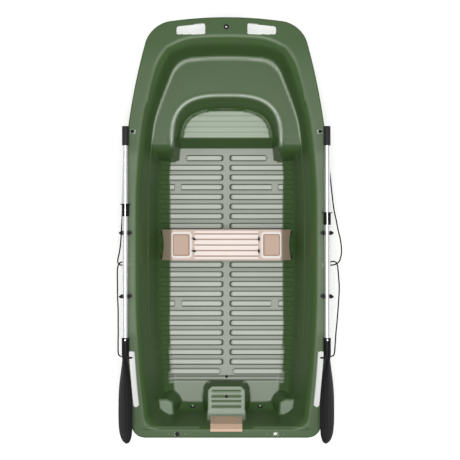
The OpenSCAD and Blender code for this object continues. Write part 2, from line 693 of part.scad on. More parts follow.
module wing_bolt(sx, sy) {
    color(black) translate([sx * bolt_x, bench_y + sy * bolt_y, bench_h]) {
        translate([0, 0, -bench_t - bearer - 9]) cylinder(r = 3, h = bench_t + bearer + 10);
        translate([0, 0, 0.3]) cylinder(r = 7.5, h = 4);
        rotate([0, 0, wing_turn[sx > 0 ? 1 : 0][sy > 0 ? 0 : 1]]) translate([0, 0, 3]) intersection() {
            rotate([90, 0, 0]) linear_extrude(6, center = true) union() {
                translate([-14, 2]) square([28, 8]);
                polygon([[-14, 8], [-4, 0], [4, 0], [14, 8]]);
            }
            cylinder(r = 14, h = 20);
        }
    }
}
module wing_bolt_nuts() {
    color(silver) wing_bolt_places() translate([0, 0, -bench_t - bearer - 0.6 - 5]) difference() {
        cylinder(r = 6, h = 5, $fn = 6);
        translate([0, 0, -1]) cylinder(r = 3.15, h = 8);
    }
}

// Lifelines: stopper knot over the fore grommet, over the gunwale into the middle one, eye round the grab bar
eye_y = grab_y[1] - 26;
bar_x = side(eye_y) - 14.6;
eye_r = 26.8;
rope_end = [[645, -757, 386], [622, -770, 402]];
fore_drop = [
    [558, 573, 437.3], [558, 573, 415], [561, 570, 393], [570, 564, 375], [586, 553, 361]];
mid_turn = [
    [616, -221, 442], [605, -219, 442], [597, -218, 440], [591, -218, 434], [589, -218, 424],
    [589, -218, 408], [592, -217, 392], [603, -213, 377], [620, -206, 369]];
route_starboard = concat(fore_drop, [
    [603, 530, 348], [613, 492, 330], [619, 450, 308], [623, 404, 286], [628, 355, 269], [635, 297, 256],
    [642, 230, 250], [649, 166, 254], [656, 106, 265], [667, 47, 284], [676, -12, 312], [687, -72, 346],
    [690, -131, 382], [685, -168, 405], [672, -200, 423], [650, -216, 435], [632, -220, 441]], mid_turn, [
    [642, -201, 364], [660, -208, 355], [670, -228, 340], [676, -262, 315], [683, -310, 282],
    [688, -370, 258], [685, -447, 248], [676, -548, 264], [664, -637, 300], [655, -705, 345]], rope_end);
route_port = concat(fore_drop, [
    [603, 532, 347], [614, 495, 330], [620, 455, 310], [626, 404, 288], [629, 345, 268], [631, 280, 256],
    [632, 215, 252], [633, 150, 255], [634, 85, 266], [635, 17, 288], [636, -45, 318], [637, -102, 354],
    [640, -145, 388], [645, -178, 414], [645, -205, 432], [632, -219, 441]], mid_turn, [
    [638, -209, 362], [651, -225, 347], [658, -255, 325], [661, -300, 295], [663, -360, 268],
    [663, -429, 255], [660, -500, 258], [658, -575, 276], [655, -637, 302], [652, -705, 345]], rope_end);
module rope(route) {
    n = 8;
    last = len(route) - 1;
    ways = [for (i = [0:last]) let (d = route[min(i + 1, last)] - route[max(i - 1, 0)]) d / norm(d)];
    ups = [for (i = 0, u = [0, 1, 0]; i <= last; i = i + 1,
            u = i <= last ? let (v = u - (u * ways[i]) * ways[i]) v / norm(v) : u) u];
    points = [for (i = [0:last], a = [0:n - 1]) let (
            flat = ups[i] - (ups[i] * ways[i]) * ways[i],
            u = flat / norm(flat),
            v = cross(ways[i], u))
        route[i] + rope_d / 2 * (cos(360 * a / n) * u + sin(360 * a / n) * v)];
    polyhedron(points, concat(
        [[for (a = [0:n - 1]) a]],
        [[for (a = [n - 1:-1:0]) last * n + a]],
        [for (i = [0:last - 1], a = [0:n - 1]) let (b = (a + 1) % n)
            each [[i * n + a, (i + 1) * n + a, (i + 1) * n + b], [i * n + a, (i + 1) * n + b, i * n + b]]]));
}
function port_side(route) = [for (p = route) [-p.x, p.y, p.z]];
module lifeline_knots() {
    color("#333335") for (side = [-1, 1]) translate([side * fore_rope.x, fore_rope.y, sheer(fore_rope.y) + 8.6])
        sphere(r = 9);
}
module lifeline_eyes() {
    color("#333335") for (side = [-1, 1]) {
        translate([side * bar_x, eye_y, gunwale_h - lip_h / 2 - 1.5]) rotate([90, 0, 0])
            rotate_extrude() translate([eye_r, 0]) circle(r = rope_d / 2);
    }
}

hull_shell(0);  // hull_bottom
hull_shell(-1);  // hull_side_port
hull_shell(1);  // hull_side_starboard
hull_shell("bow");  // hull_bow
hull_shell("stern");  // hull_stern
cockpit_liner(0);  // liner_floor
cockpit_liner(-1);  // liner_side_port
cockpit_liner(1);  // liner_side_starboard
cockpit_liner("bow");  // liner_bow
cockpit_liner("stern");  // liner_stern
foam_bow();
foam_floor(-1);  // foam_floor_port
foam_floor(1);  // foam_floor_starboard
foam_stern();
transom_board();
motor_pad_inner();
motor_pad_outer();
motor_pad_screws();
painter_bush();
drain_socket(-1);  // drain_socket_port
drain_socket(1);  // drain_socket_starboard
drain_plug(-1);  // drain_plug_port
drain_plug(1);  // drain_plug_starboard
stern_bush(-1);  // stern_bush_port
stern_bush(1);  // stern_bush_starboard
stern_hole_plug();
trim_screws();
rowlock_sockets(-1);  // rowlock_sockets_port
rowlock_sockets(1);  // rowlock_sockets_starboard
rowlock(-1, lock_y[0]);  // rowlock_port_fore
rowlock(-1, lock_y[1]);  // rowlock_port_aft
rowlock(1, lock_y[0]);  // rowlock_starboard_fore
rowlock(1, lock_y[1]);  // rowlock_starboard_aft
retainer(-1, lock_y[0]);  // retainer_port_fore
retainer(-1, lock_y[1]);  // retainer_port_aft
retainer(1, lock_y[0]);  // retainer_starboard_fore
retainer(1, lock_y[1]);  // retainer_starboard_aft
rope_grommets(-1);  // rope_grommets_port
rope_grommets(1);  // rope_grommets_starboard
color("#333335") rope(port_side(route_port));  // lifeline_port
color("#333335") rope(route_starboard);  // lifeline_starboard
lifeline_knots();
lifeline_eyes();
oar_grip(-1);  // port_grip
oar_shaft(-1);  // port_shaft
oar_blade(-1);  // port_blade
oar_collar(-1, collar_y[0] + collar_l / 2);  // port_collar
snap_button(-1);  // port_snap_button
shaft_plug(-1);  // port_shaft_plug
oar_grip(1);  // starboard_grip
oar_shaft(1);  // starboard_shaft
oar_blade(1);  // starboard_blade
oar_collar(1, collar_y[1] + collar_l / 2);  // starboard_collar
snap_button(1);  // starboard_snap_button
shaft_plug(1);  // starboard_shaft_plug
bench_top();
bench_bearer(bolt_y);  // bench_bearer_fore
bench_bearer(-bolt_y);  // bench_bearer_aft
bench_feet();
wing_bolt(-1, 1);  // wing_bolt_port_fore
wing_bolt(-1, -1);  // wing_bolt_port_aft
wing_bolt(1, 1);  // wing_bolt_starboard_fore
wing_bolt(1, -1);  // wing_bolt_starboard_aft
wing_bolt_nuts();
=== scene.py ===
# %% [markdown]
# # A rigid rowing tender, seen from straight above
# The boat is two thin polyethylene skins, moulded in a hot rotating mould and bonded along the gunwale.
# The engineering model of it is loaded first and stays as it is. Everything made here is placed round that
# frame, in metres, with +Y towards the bow, +X towards starboard and the keels standing on Z = 0.

# %% The frame and its size
import json
import math

import bpy
import numpy as np
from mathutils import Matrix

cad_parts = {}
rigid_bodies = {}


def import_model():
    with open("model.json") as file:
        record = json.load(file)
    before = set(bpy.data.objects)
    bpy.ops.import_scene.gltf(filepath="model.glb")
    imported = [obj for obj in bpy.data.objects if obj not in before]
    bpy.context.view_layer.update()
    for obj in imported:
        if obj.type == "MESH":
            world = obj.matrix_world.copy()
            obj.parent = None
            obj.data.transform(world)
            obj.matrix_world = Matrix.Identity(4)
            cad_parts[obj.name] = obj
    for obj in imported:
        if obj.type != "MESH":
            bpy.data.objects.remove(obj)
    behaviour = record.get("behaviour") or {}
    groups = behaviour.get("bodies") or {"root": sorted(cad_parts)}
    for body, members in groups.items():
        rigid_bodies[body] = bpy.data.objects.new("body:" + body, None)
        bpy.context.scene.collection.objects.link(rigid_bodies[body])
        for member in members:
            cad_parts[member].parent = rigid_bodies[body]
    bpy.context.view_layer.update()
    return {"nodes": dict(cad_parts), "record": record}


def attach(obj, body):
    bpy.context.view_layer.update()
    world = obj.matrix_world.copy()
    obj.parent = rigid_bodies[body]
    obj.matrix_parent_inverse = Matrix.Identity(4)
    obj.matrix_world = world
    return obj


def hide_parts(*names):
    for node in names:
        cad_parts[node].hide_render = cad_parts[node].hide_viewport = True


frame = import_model()
nodes = frame["nodes"]
MM = 0.001

# %% [markdown]
# ## The camera
# Seen from straight above, a boat shows its outline, its thwart and its whole cockpit at once. A camera could also
# be orthographic, but a long lens 7 m above the gunwale makes the deep floor look a little smaller, as it does to
# the eye. The view is square, so one angle describes the lens.

# %% Camera straight above
GUNWALE = 0.43
CAMERA_HEIGHT = 7.0
VIEW_WIDTH = 2.737  # what the lens takes in at the height of the gunwale
camera_data = bpy.data.cameras.new("overhead_camera")
camera = bpy.data.objects.new("overhead_camera", camera_data)
bpy.context.collection.objects.link(camera)
camera.location = (0.022, -0.0125, GUNWALE + CAMERA_HEIGHT)
camera_data.sensor_fit = "HORIZONTAL"
camera_data.angle = 2 * math.atan(VIEW_WIDTH / 2 / CAMERA_HEIGHT)
bpy.context.scene.camera = camera
print("camera angle:", round(math.degrees(camera_data.angle), 2), "degrees")

# %% [markdown]
# ## Helpers for shapes
# A moulded boat is all gentle steps and rounded corners. They could be pushed about by hand in a mesh, but written
# as formulas they stay exact and easy to change. These few curves ease, blend and round off everything below.

# %% Small curves used everywhere
def ease(t):
    """An S-curve: 0 below 0, 1 above 1, and three t squared less two t cubed between."""
    t = np.clip(t, 0, 1)
    return t * t * (3 - 2 * t)


def mix(a, b, t):
    """A straight blend: a where t is 0 and b where t is 1."""
    return a + (b - a) * t


def bend(t, r):
    """A ramp with a rounded start: 0 below -r, t above r, and (t + r) squared over 4r between."""
    return np.where(t > r, t, np.clip(t + r, 0, None) ** 2 / (4 * r) * (t > -r))


def soft_min(a, b, k):
    """The smaller of two, rounded off where they differ by less than k."""
    h = np.clip(k - np.abs(a - b), 0, None) / k
    return np.minimum(a, b) - h * h * k / 4


def soft_max(a, b, k):
    """The larger of two, rounded off in the same way."""
    return -soft_min(-a, -b, k)


def rounded_box(x, y, cx, cy, hx, hy, r):
    """Distance outside a rectangle centred at (cx, cy), hx by hy in half size, with corners of radius r."""
    qx, qy = np.abs(x - cx) - hx + r, np.abs(y - cy) - hy + r
    return np.hypot(np.clip(qx, 0, None), np.clip(qy, 0, None)) + np.minimum(np.maximum(qx, qy), 0) - r


# %% [markdown]
# ## Helpers for surfaces
# Every new piece is a grid of points worked out with whole arrays. Blender's own primitives would need much bending
# to fit, while a grid takes any shape at once: each small square between four neighbouring points becomes a face.
# Rows and columns can be closed into a ring, as round a rope.

# %% Grids into meshes
def grid_faces(rows, columns, ring_rows=False, ring_columns=False, start=0):
    """Index quads of a grid: point (i, j) joins (i, j + 1), (i + 1, j + 1) and (i + 1, j)."""
    i = np.arange(rows if ring_rows else rows - 1)
    j = np.arange(columns if ring_columns else columns - 1)
    i, j = (a.ravel() for a in np.meshgrid(i, j, indexing="ij"))
    i2, j2 = (i + 1) % rows, (j + 1) % columns
    return start + np.stack([i * columns + j, i * columns + j2, i2 * columns + j2, i2 * columns + j], 1)


def mesh_piece(name, points, quads, triangles=(), smooth=True, sharp_angle=40):
    """A mesh object from points in millimetres, quads and triangles, shaded smooth but for edges over sharp_angle."""
    quads = np.asarray(quads, dtype=np.int32).reshape(-1, 4)
    triangles = np.asarray(triangles, dtype=np.int32).reshape(-1, 3)
    mesh = bpy.data.meshes.new(name)
    mesh.vertices.add(len(points))
    mesh.vertices.foreach_set("co", (np.asarray(points, dtype=np.float64) * MM).ravel())
    mesh.loops.add(quads.size + triangles.size)
    mesh.loops.foreach_set("vertex_index", np.concatenate([quads.ravel(), triangles.ravel()]))
    mesh.polygons.add(len(quads) + len(triangles))
    starts = np.concatenate([np.arange(len(quads)) * 4, quads.size + np.arange(len(triangles)) * 3])
    mesh.polygons.foreach_set("loop_start", starts.astype(np.int32))
    mesh.update(calc_edges=True)
    mesh.validate()
    if smooth:
        mesh.shade_smooth()
        mesh.set_sharp_from_angle(angle=math.radians(sharp_angle))
    piece = bpy.data.objects.new(name, mesh)
    bpy.context.collection.objects.link(piece)
    return piece


# %% A laid rope
STRANDS, ROPE_SHARP = 3, 60


def laid_rope(name, centres, radius, sides, lobe_depth, pitch, up=(0, 0, 1), closed=False):
    """A rope along a line of centres, with shut ends, or closed into a ring. Its radius shrinks between the strands by
    lobe_depth, as the absolute sine of half the angle times the strands, and they turn once every pitch."""
    ways = np.roll(centres, -1, 0) - np.roll(centres, 1, 0) if closed else np.gradient(centres, axis=0)
    ways /= np.linalg.norm(ways, axis=1)[:, None]
    steps = np.linalg.norm(np.roll(centres, -1, 0) - centres, axis=1)
    along = np.concatenate([[0], np.cumsum(steps)])[:-1]
    if closed:
        pitch = steps.sum() * STRANDS / round(steps.sum() * STRANDS / pitch)
    side = np.cross(ways, up)
    weak = np.linalg.norm(side, axis=1) < 1e-3
    side[weak] = np.cross(ways[weak], (0, 1, 0))
    side /= np.linalg.norm(side, axis=1)[:, None]
    over = np.cross(side, ways)
    angle = 2 * np.pi * np.arange(sides) / sides
    swell = 1 - lobe_depth * np.abs(np.sin(STRANDS / 2 * (angle[None] - 2 * np.pi * along[:, None] / pitch)))
    around = np.cos(angle)[None, :, None] * side[:, None] + np.sin(angle)[None, :, None] * over[:, None]
    ring = centres[:, None] + radius * swell[..., None] * around
    quads = grid_faces(len(centres), sides, ring_rows=closed, ring_columns=True)[:, ::-1]
    if closed:
        return mesh_piece(name, ring.reshape(-1, 3), quads, sharp_angle=ROPE_SHARP)
    a = np.arange(sides)
    b = (a + 1) % sides
    last, count = (len(centres) - 1) * sides, len(centres) * sides
    caps = np.concatenate([np.stack([np.full(sides, count), a, b], 1),
                           np.stack([np.full(sides, count + 1), last + b, last + a], 1)])
    points = np.concatenate([ring.reshape(-1, 3), centres[:1], centres[-1:]])
    return mesh_piece(name, points, quads, caps, sharp_angle=ROPE_SHARP)


def smooth_line(points, step):
    """A Catmull-Rom curve through the points: each stretch is the cubic whose slope at a point is half the way between
    its neighbours. It is then cut into even steps."""
    p = np.asarray(points, dtype=float)
    p = np.concatenate([2 * p[:1] - p[1:2], p, 2 * p[-1:] - p[-2:-1]])
    t = np.linspace(0, 1, 24, endpoint=False)[None, :, None]
    a, b, c, d = (p[i:len(p) - 3 + i, None] for i in range(4))
    fine = 0.5 * (2 * b + (c - a) * t + (2 * a - 5 * b + 4 * c - d) * t ** 2 + (3 * b - 3 * c + d - a) * t ** 3)
    fine = np.concatenate([fine.reshape(-1, 3), p[-2:-1]])
    along = np.concatenate([[0], np.cumsum(np.linalg.norm(np.diff(fine, axis=0), axis=1))])
    even = np.linspace(0, along[-1], max(4, int(round(along[-1] / step)) + 1))
    return np.stack([np.interp(even, along, fine[:, k]) for k in range(3)], 1), along[-1]


# %% [markdown]
# ## Lifelines
# A black three-strand rope hangs along each side. It is held by a stopper knot over a bushed hole near the bow,
# hangs down the topside under its own weight, comes up over the gunwale into the middle hole, hangs again below
# it, and ends in an eye round the grab bar near the stern. A bevelled curve would make it plain and round, so it is
# a mesh whose three strands turn once every 42 mm. Its line is a smooth curve through the points where the rope lies.

# %% Rope routes in millimetres, starboard side; the port one is mirrored
ROPE = 8.0
STRAND_PROUD = 1.15  # so that strands and grooves together average the rope's own radius
ROPE_STEP = 2.2
fore_drop = [[558, 573, 437.3], [558, 573, 415], [561, 570, 393], [570, 564, 375], [586, 553, 361]]
mid_turn = [[616, -221, 442], [605, -219, 442], [597, -218, 440], [591, -218, 434], [589, -218, 424],
            [589, -218, 408], [592, -217, 392], [603, -213, 377], [620, -206, 369]]
rope_end = [[645, -757, 386], [622, -770, 402]]
route_starboard = fore_drop + [
    [603, 530, 348], [613, 492, 330], [619, 450, 308], [623, 404, 286], [628, 355, 269], [635, 297, 256],
    [642, 230, 250], [649, 166, 254], [656, 106, 265], [667, 47, 284], [676, -12, 312], [687, -72, 346],
    [690, -131, 382], [685, -168, 405], [672, -200, 423], [650, -216, 435], [632, -220, 441]] + mid_turn + [
    [642, -201, 364], [660, -208, 355], [670, -228, 340], [676, -262, 315], [683, -310, 282],
    [688, -370, 258], [685, -447, 248], [676, -548, 264], [664, -637, 300], [655, -705, 345]] + rope_end
route_port = fore_drop + [
    [603, 532, 347], [614, 495, 330], [620, 455, 310], [626, 404, 288], [629, 345, 268], [631, 280, 256],
    [632, 215, 252], [633, 150, 255], [634, 85, 266], [635, 17, 288], [636, -45, 318], [637, -102, 354],
    [640, -145, 388], [645, -178, 414], [645, -205, 432], [632, -219, 441]] + mid_turn + [
    [638, -209, 362], [651, -225, 347], [658, -255, 325], [661, -300, 295], [663, -360, 268],
    [663, -429, 255], [660, -500, 258], [658, -575, 276], [655, -637, 302], [652, -705, 345]] + rope_end
lifelines = {}
for name, route, side in (("port", route_port, -1), ("starboard", route_starboard, 1)):
    centres, length = smooth_line(np.asarray(route) * (side, 1, 1), ROPE_STEP)
    rope = laid_rope(f"lifeline_rope_{name}", centres, ROPE / 2 * STRAND_PROUD, sides=14, lobe_depth=0.2, pitch=42)
    lifelines[name] = (rope, centres, length)
    print(name, "lifeline:", round(length / 1000, 3), "m,", len(rope.data.polygons), "faces")

# %% [markdown]
# The stopper knot over the fore hole and the spliced eye round the grab bar are made from the same laid rope. A ball
# would be simpler, but a knot shows its crossings: its line winds three times round a small ring while it goes twice
# round the ring's middle, and closes on itself. Knots and eyes belong to their rope and move with it.

# %% Knots, eyes and the cord facts
def half_side(y):
    """Half width: 619 less two parabolas, one forward of 100 and one aft of -300."""
    return 619 - 177 * (np.clip(y - 100, 0, None) / 1128) ** 2 - 64 * (np.clip(-y - 300, 0, None) / 950) ** 2


BAR_INSET = 14.6  # from the boat's side to the middle of the grab bar
KNOT_R, KNOT_SWING, KNOT_RISE, KNOT_ROPE = 4.6, 2.2, 2.4, 3.3
FORE_HOLE, KNOT_Z = (558, 573), 449.6
EYE_R, EYE_Y, EYE_Z = 26.8, -775.0, 413.5
rope_pieces = []
for name, side in (("port", -1), ("starboard", 1)):
    rope, centres, length = lifelines[name]
    turn = np.linspace(0, 2 * np.pi, 91)[:-1]
    wind = KNOT_R + KNOT_SWING * np.cos(3 * turn)
    knot_line = np.stack([wind * np.cos(2 * turn), wind * np.sin(2 * turn), KNOT_RISE * np.sin(3 * turn)], 1)
    knot_at = np.array((side * FORE_HOLE[0], FORE_HOLE[1], KNOT_Z))
    knot = laid_rope(f"stopper_knot_{name}", knot_line + knot_at, KNOT_ROPE, sides=10, lobe_depth=0.12, pitch=26,
                     closed=True)
    ring = np.linspace(0, 2 * np.pi, 73)[:-1]
    bar_x = side * (half_side(EYE_Y) - BAR_INSET)
    eye_line = np.stack([bar_x + EYE_R * np.cos(ring), np.full_like(ring, EYE_Y), EYE_Z + EYE_R * np.sin(ring)], 1)
    eye = laid_rope(f"rope_eye_{name}", eye_line, ROPE / 2, sides=12, lobe_depth=0.15, pitch=30, up=(0, 1, 0),
                    closed=True)
    rope_pieces += [rope, knot, eye]
    for piece in (rope, knot, eye):
        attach(piece, "hull")
    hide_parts(f"lifeline_{name}")
    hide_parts("lifeline_knots")
    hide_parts("lifeline_eyes")
    side * 0.558
    print(name, "knot and eye:", len(knot.data.polygons) + len(eye.data.polygons), "faces")

# %% [markdown]
# ## The lines of the boat
# A boat builder draws the outline, the sheer and the sections first. A modelled cage would have to be matched by eye
# at the gunwale, so the same few curves shape both skins here. The outline is straight amidships, draws in towards
# the bow as a parabola, and has a quarter circle at each corner. The bow edge is a shallow arc.

# %% Outline, sheer and cockpit edge, in millimetres
def corner_cut(t, r):
    """How much a quarter circle of radius r takes off at a place t past its start: r less the root of r2 - t2."""
    return r * (1 - np.sqrt(np.clip(1 - np.clip(t / r, 0, 1) ** 2, 0, 1)))


def half_beam(y, inset=0.0):
    """Half width with rounded corners, for an outline drawn inset inside the real one."""
    return half_side(y) - inset - corner_cut(y - 1098, 130 - inset) - corner_cut(-1180 - y, 70 - inset)


def crown(x):
    """How far the bow edge stands forward: a parabola 22 high and 640 wide."""
    return 22 * np.clip(1 - (x / 320) ** 2, 0, None)


def sheer(y):
    """Height of the gunwale, 30 higher at the bow."""
    return 430 + 30 * ease((y - 300) / 800)


def inner_edge(y):
    """Half width of the line where the gunwale turns down into the cockpit."""
    return half_side(y) - 76 - 16 * ease((y - 600) / 400)


def inside(x, y):
    """Distance inside the cockpit's edge: the smallest of the distances to the sides, the bow and the stern."""
    sides = (inner_edge(y) - np.abs(x)) / (1 + 0.58 * ease((y - 600) / 430))
    fore = (1117 + crown(x) - y) / 1.58
    aft = (y + 1202) * 1.64
    near = mix(120, 60, ease((np.minimum(sides, fore) - 10) / 60))
    return soft_min(soft_min(sides, fore, near), aft, 120)


def plot_line(d, places, heights, radii):
    """A line through (place, height) whose corners are rounded: each corner adds its change of slope as a ramp."""
    stretches = range(len(places) - 1)
    slopes = [0.0] + [(heights[k + 1] - heights[k]) / (places[k + 1] - places[k]) for k in stretches] + [0.0]
    z = heights[0] + 0 * d
    for k, (place, r) in enumerate(zip(places, radii)):
        z = z + (slopes[k + 1] - slopes[k]) * bend(d - place, r)
    return z


# %% [markdown]
# ## The inner skin
# The liner is one moulding: gunwale, cockpit sides, ledges, floor with drain channels, bow platform with its
# arched step, and the pods at the stern. Channels stiffen a thin floor and carry water aft. The height is worked out
# over the whole grid at once. A wall is a chain of straight slopes with rounded corners, and a pod or a platform
# is blended over it by taking the larger height.

# %% Heights of the liner
FLOOR, UNDER_FLOOR, BILGE, LEDGE = 80.0, 52.0, 130.0, 300.0
PLATFORM, STEP, MIDDLE_POD, SIDE_POD = 300.0, 170.0, 200.0, 220.0
FIRST_CHANNEL, PITCH, CHANNELS, CHANNEL_DEPTH = 437.0, 60.6, 23, 9
STEP_RIBS = ((682, 205), (648, 235), (615, 250), (581, 258), (718, 115))  # place and half width
NOSE_ARCH, STEP_ARCH = (329, 289), (286, 223)  # half width and depth


def liner_wall(x, y):
    """Height of the gunwale, side wall, ledge, bilge and floor, from the distance inside the edge."""
    top, ledge = sheer(y), ease((y + 760) / 100)
    places = (0, 31, 65, 72, 115, 185)
    slope = [mix(top - 26, BILGE, (place - places[1]) / (places[4] - places[1])) for place in places[2:4]]
    heights = (top, top - 26, mix(slope[0], LEDGE, ledge), mix(slope[1], LEDGE, ledge), BILGE, FLOOR)
    return plot_line(inside(x, y), places, heights, (8, 8, 2.5, 3, 14, 5))


def arch(x, y, sx, sy):
    """1 on an arch sx wide and sy deep with flat flanks: the cube root of a sum of cubes, like a squared-off circle."""
    return ((np.abs(x) / sx) ** 3 + (np.clip(y - 514, 0, None) / sy) ** 3) ** (1 / 3)


def bow_block(x, y):
    """Bow platform 300 high around an arched recess with a step 170 high."""
    nose = mix(UNDER_FLOOR, PLATFORM, np.sqrt(np.clip(1 - (1 - np.clip((y - 415) / 99, 0, 1)) ** 2, 0, 1)))
    step = mix(UNDER_FLOOR, STEP, np.clip((y - 486) / 69, 0, 1))
    ribs = np.zeros_like(x)
    for place, half in STEP_RIBS:
        ribs = np.maximum(ribs, ease((3 - rounded_box(x, y, 0, place, half, 8, 7)) / 4))
    step = step + 4 * ribs
    outer, inner = arch(x, y, *NOSE_ARCH), arch(x, y, *STEP_ARCH)
    share = np.clip((inner - 1) / np.clip(inner - outer, 1e-6, None), 0, 1)
    flank = mix(step, nose, bend(share, 0.08) - bend(share - 1, 0.1))
    lip = np.exp(-((outer - 1.01) / 0.035) ** 2) * 3 * ease((y - 470) / 60)
    return flank + lip


def pods(x, y):
    """The three stern pods: flat tops with corners of 40 and 30, falling away as an S-curve."""
    far = rounded_box(x, y, 0, -1077, 112, 100, 40)
    middle = mix(MIDDLE_POD, UNDER_FLOOR, ease(far / 46))
    for place in (-1005, -1035, -1067, -1098):
        middle = middle - 4 * ease((2 - rounded_box(x, y, 0, place, 92, 8, 7)) / 4)
    corner = 30
    dx, dy = 336 + corner - np.abs(x), y + 1063 + corner
    far = np.hypot(np.clip(dx, 0, None), np.clip(dy, 0, None)) - corner
    sides = mix(SIDE_POD, UNDER_FLOOR, ease(far / 78))
    return np.maximum(middle, sides)


def channel_mask(x, y):
    """1 inside a channel of the floor and 0 outside, with edges 3 wide."""
    row = np.clip(np.round((FIRST_CHANNEL - y) / PITCH), 0, CHANNELS - 1)
    inner = np.where(row == CHANNELS - 1, 42, 20)
    outer = np.where(row == 0, 250, 411)
    middle = FIRST_CHANNEL - row * PITCH
    out = rounded_box(np.abs(x), y, (inner + outer) / 2, middle, (outer - inner) / 2, 16.5, 11)
    solid = ((row == 3) | (row == 15)) & (np.abs(np.abs(x) - 302) < 22)
    return np.where(solid, 0, ease((1.5 - out) / 3))


def liner_height(x, y):
    """The liner's upper face, and the share of it that is channel floor."""
    channel = channel_mask(x, y) * ease((y + 925) / 5) * ease((475 - y) / 5)
    z = liner_wall(x, y) - CHANNEL_DEPTH * channel
    side_rib = np.zeros_like(x)
    for place in (249, 71, -108, -280, -459, -649):
        side_rib = side_rib + 3.5 * (ease((y - place) / 4) * ease((place + 120 - y) / 118))
    depth = inside(x, y)
    z = z + side_rib * ease((depth - 34) / 6) * ease((60 - depth) / 6)
    stern_bead = np.exp(-((y + 1192) / 4) ** 2) * ease((500 - np.abs(x)) / 20) * ease((np.abs(x) - 150) / 30)
    z = z + 2.5 * stern_bead * (depth < 0)
    for place in (-925, -950):
        z = z - 3 * np.exp(-((y - place) / 3) ** 2) * ease((330 - np.abs(x)) / 10)
    block = np.where(y > 300, bow_block(x, y), 0)
    pod = np.where(y < -850, pods(x, y), 0)
    return soft_max(soft_max(z, block, 5), pod, 5), channel * (block < FLOOR) * (pod < FLOOR)


# %% [markdown]
# ## A thin moulding from one face
# A skin is drawn by its seen face on a grid whose lines follow the channels, walls and edges, so that every edge
# falls on a line. A Solidify modifier would double all those faces, so a coarse sheet closes the hidden side instead:
# it takes every fourth line and keeps below the lowest point near each of its own. Loops round the outline turn the
# seen face down into a lip.

# %% Grids for both skins
COARSE = 4  # a line of the hidden sheet for every fourth one of the face
FOOT = 355  # where the floor meets the bilge amidships
WALL, MOULDING_SHARP = 4, 42


def across_lines(inner, outer, t, inset):
    """X of each line on the rows t: inner ones from the middle out, then outer ones given by distance to the side."""
    side, beam = half_side(t)[:, None], half_beam(t, inset)[:, None]
    foot = np.clip(side - 264, None, FOOT)
    a = np.asarray(inner, float)[None]
    a = a - (FOOT - foot) * np.clip((a - 50) / (FOOT - 50), 0, 1)
    part = np.concatenate([a, side - np.asarray(outer, float)], 1)
    part = part * (beam / (side - outer[-1]))
    return np.concatenate([-part[:, :0:-1], part], 1)


def around(index):
    """The outline of a grid of indices, anticlockwise: first row, last column, last row and first column."""
    return np.concatenate([index[0, :-1], index[:-1, -1], index[-1, :0:-1], index[:0:-1, 0]])


def moulding(name, x, y, top, thickness, loops, flip=False):
    """A closed thin shell. top is the height on the grid x, y; loops are (distance out, drop) pairs round the edge;
    flip turns it over, for a skin that is seen from below."""
    rows, columns = x.shape
    face = np.stack([x, y, top], 2).reshape(-1, 3)
    loop = around(np.arange(rows * columns).reshape(rows, columns))
    edge = face[loop]
    along = np.roll(edge, -1, 0)[:, :2] - np.roll(edge, 1, 0)[:, :2]
    out = np.stack([along[:, 1], -along[:, 0]], 1)
    out /= np.linalg.norm(out, axis=1)[:, None]
    rings = [np.concatenate([edge[:, :2] + out * far, edge[:, 2:] - drop], 1) for far, drop in loops]
    padded = np.pad(top, COARSE, mode="edge")
    low = np.full((rows // COARSE + 1, columns // COARSE + 1), np.inf)
    for i in range(2 * COARSE + 1):
        for j in range(2 * COARSE + 1):
            low = np.minimum(low, padded[i:i + rows:COARSE, j:j + columns:COARSE])
    back = np.stack([x[::COARSE, ::COARSE], y[::COARSE, ::COARSE], low - thickness], 2)
    small = back.shape[:2]
    count, size = len(face), len(loop)
    quads, before = [grid_faces(rows, columns)], loop
    for k in range(len(rings)):
        now = count + k * size + np.arange(size)
        quads.append(np.stack([before, now, np.roll(now, -1), np.roll(before, -1)], 1))
        before = now
    start = count + len(rings) * size
    back_index = start + np.arange(small[0] * small[1]).reshape(small)
    back_loop = around(back_index)
    after = np.roll(before, -1)
    triangles = np.concatenate([np.stack([before, np.repeat(back_loop, COARSE), after], 1),
                                np.stack([after[COARSE - 1::COARSE], back_loop, np.roll(back_loop, -1)], 1)])
    quads = np.concatenate(quads + [grid_faces(*small, start=start)[:, ::-1]])
    points = np.concatenate([face] + rings + [back.reshape(-1, 3)])
    if flip:
        points = points * (1, 1, -1)
        quads, triangles = quads[:, ::-1], triangles[:, ::-1]
    return mesh_piece(name, points, quads, triangles, sharp_angle=MOULDING_SHARP)


# %% [markdown]
# The grid lines of the liner lie close where it bends, at the edges of channels and ledges, and wide apart on flat
# stretches. An even grid would need many more faces for the same crisp edges.

# %% The inner skin
INNER = [0, 8, 14, 17, 19, 21, 23, 28, 36, 44, 52, 62, 74, 86, 94, 102, 110, 118, 126, 134, 142, 150, 158, 168, 178, 188,
         198, 208, 218, 228, 238, 248, 254, 262, 270, 278, 282, 288, 296, 304, 312, 320, 324, 330, 336, 344, FOOT]
OUTER = [261, 252, 240, 226, 214, 211, 208, 205, 201, 196, 191, 185, 178, 170, 162, 155, 151, 148, 145, 142, 139, 136,
         130, 123, 116, 112, 108, 104, 98, 92, 86, 81, 76, 71, 62, 50, 38, 26, 16, 10, 7.5, 7]
IN_CHANNEL = np.array([-30.3, -20.5, -17.2, -15.2, -10.5, 0, 10.5, 15.2, 17.2, 20.5])
liner_rows = np.unique(np.round(np.concatenate(
    [FIRST_CHANNEL - PITCH * row + IN_CHANNEL for row in range(CHANNELS)]
    + [np.arange(462, 832, 6.0), np.arange(832, 1090, 9.0), np.arange(1090, 1216, 5.0), [1219, 1221.0],
       np.arange(-922, -1190, -7.0), np.arange(-1190, -1242, -4.0), [-1243.0]]), 2))
surplus = (len(liner_rows) - 1) % COARSE
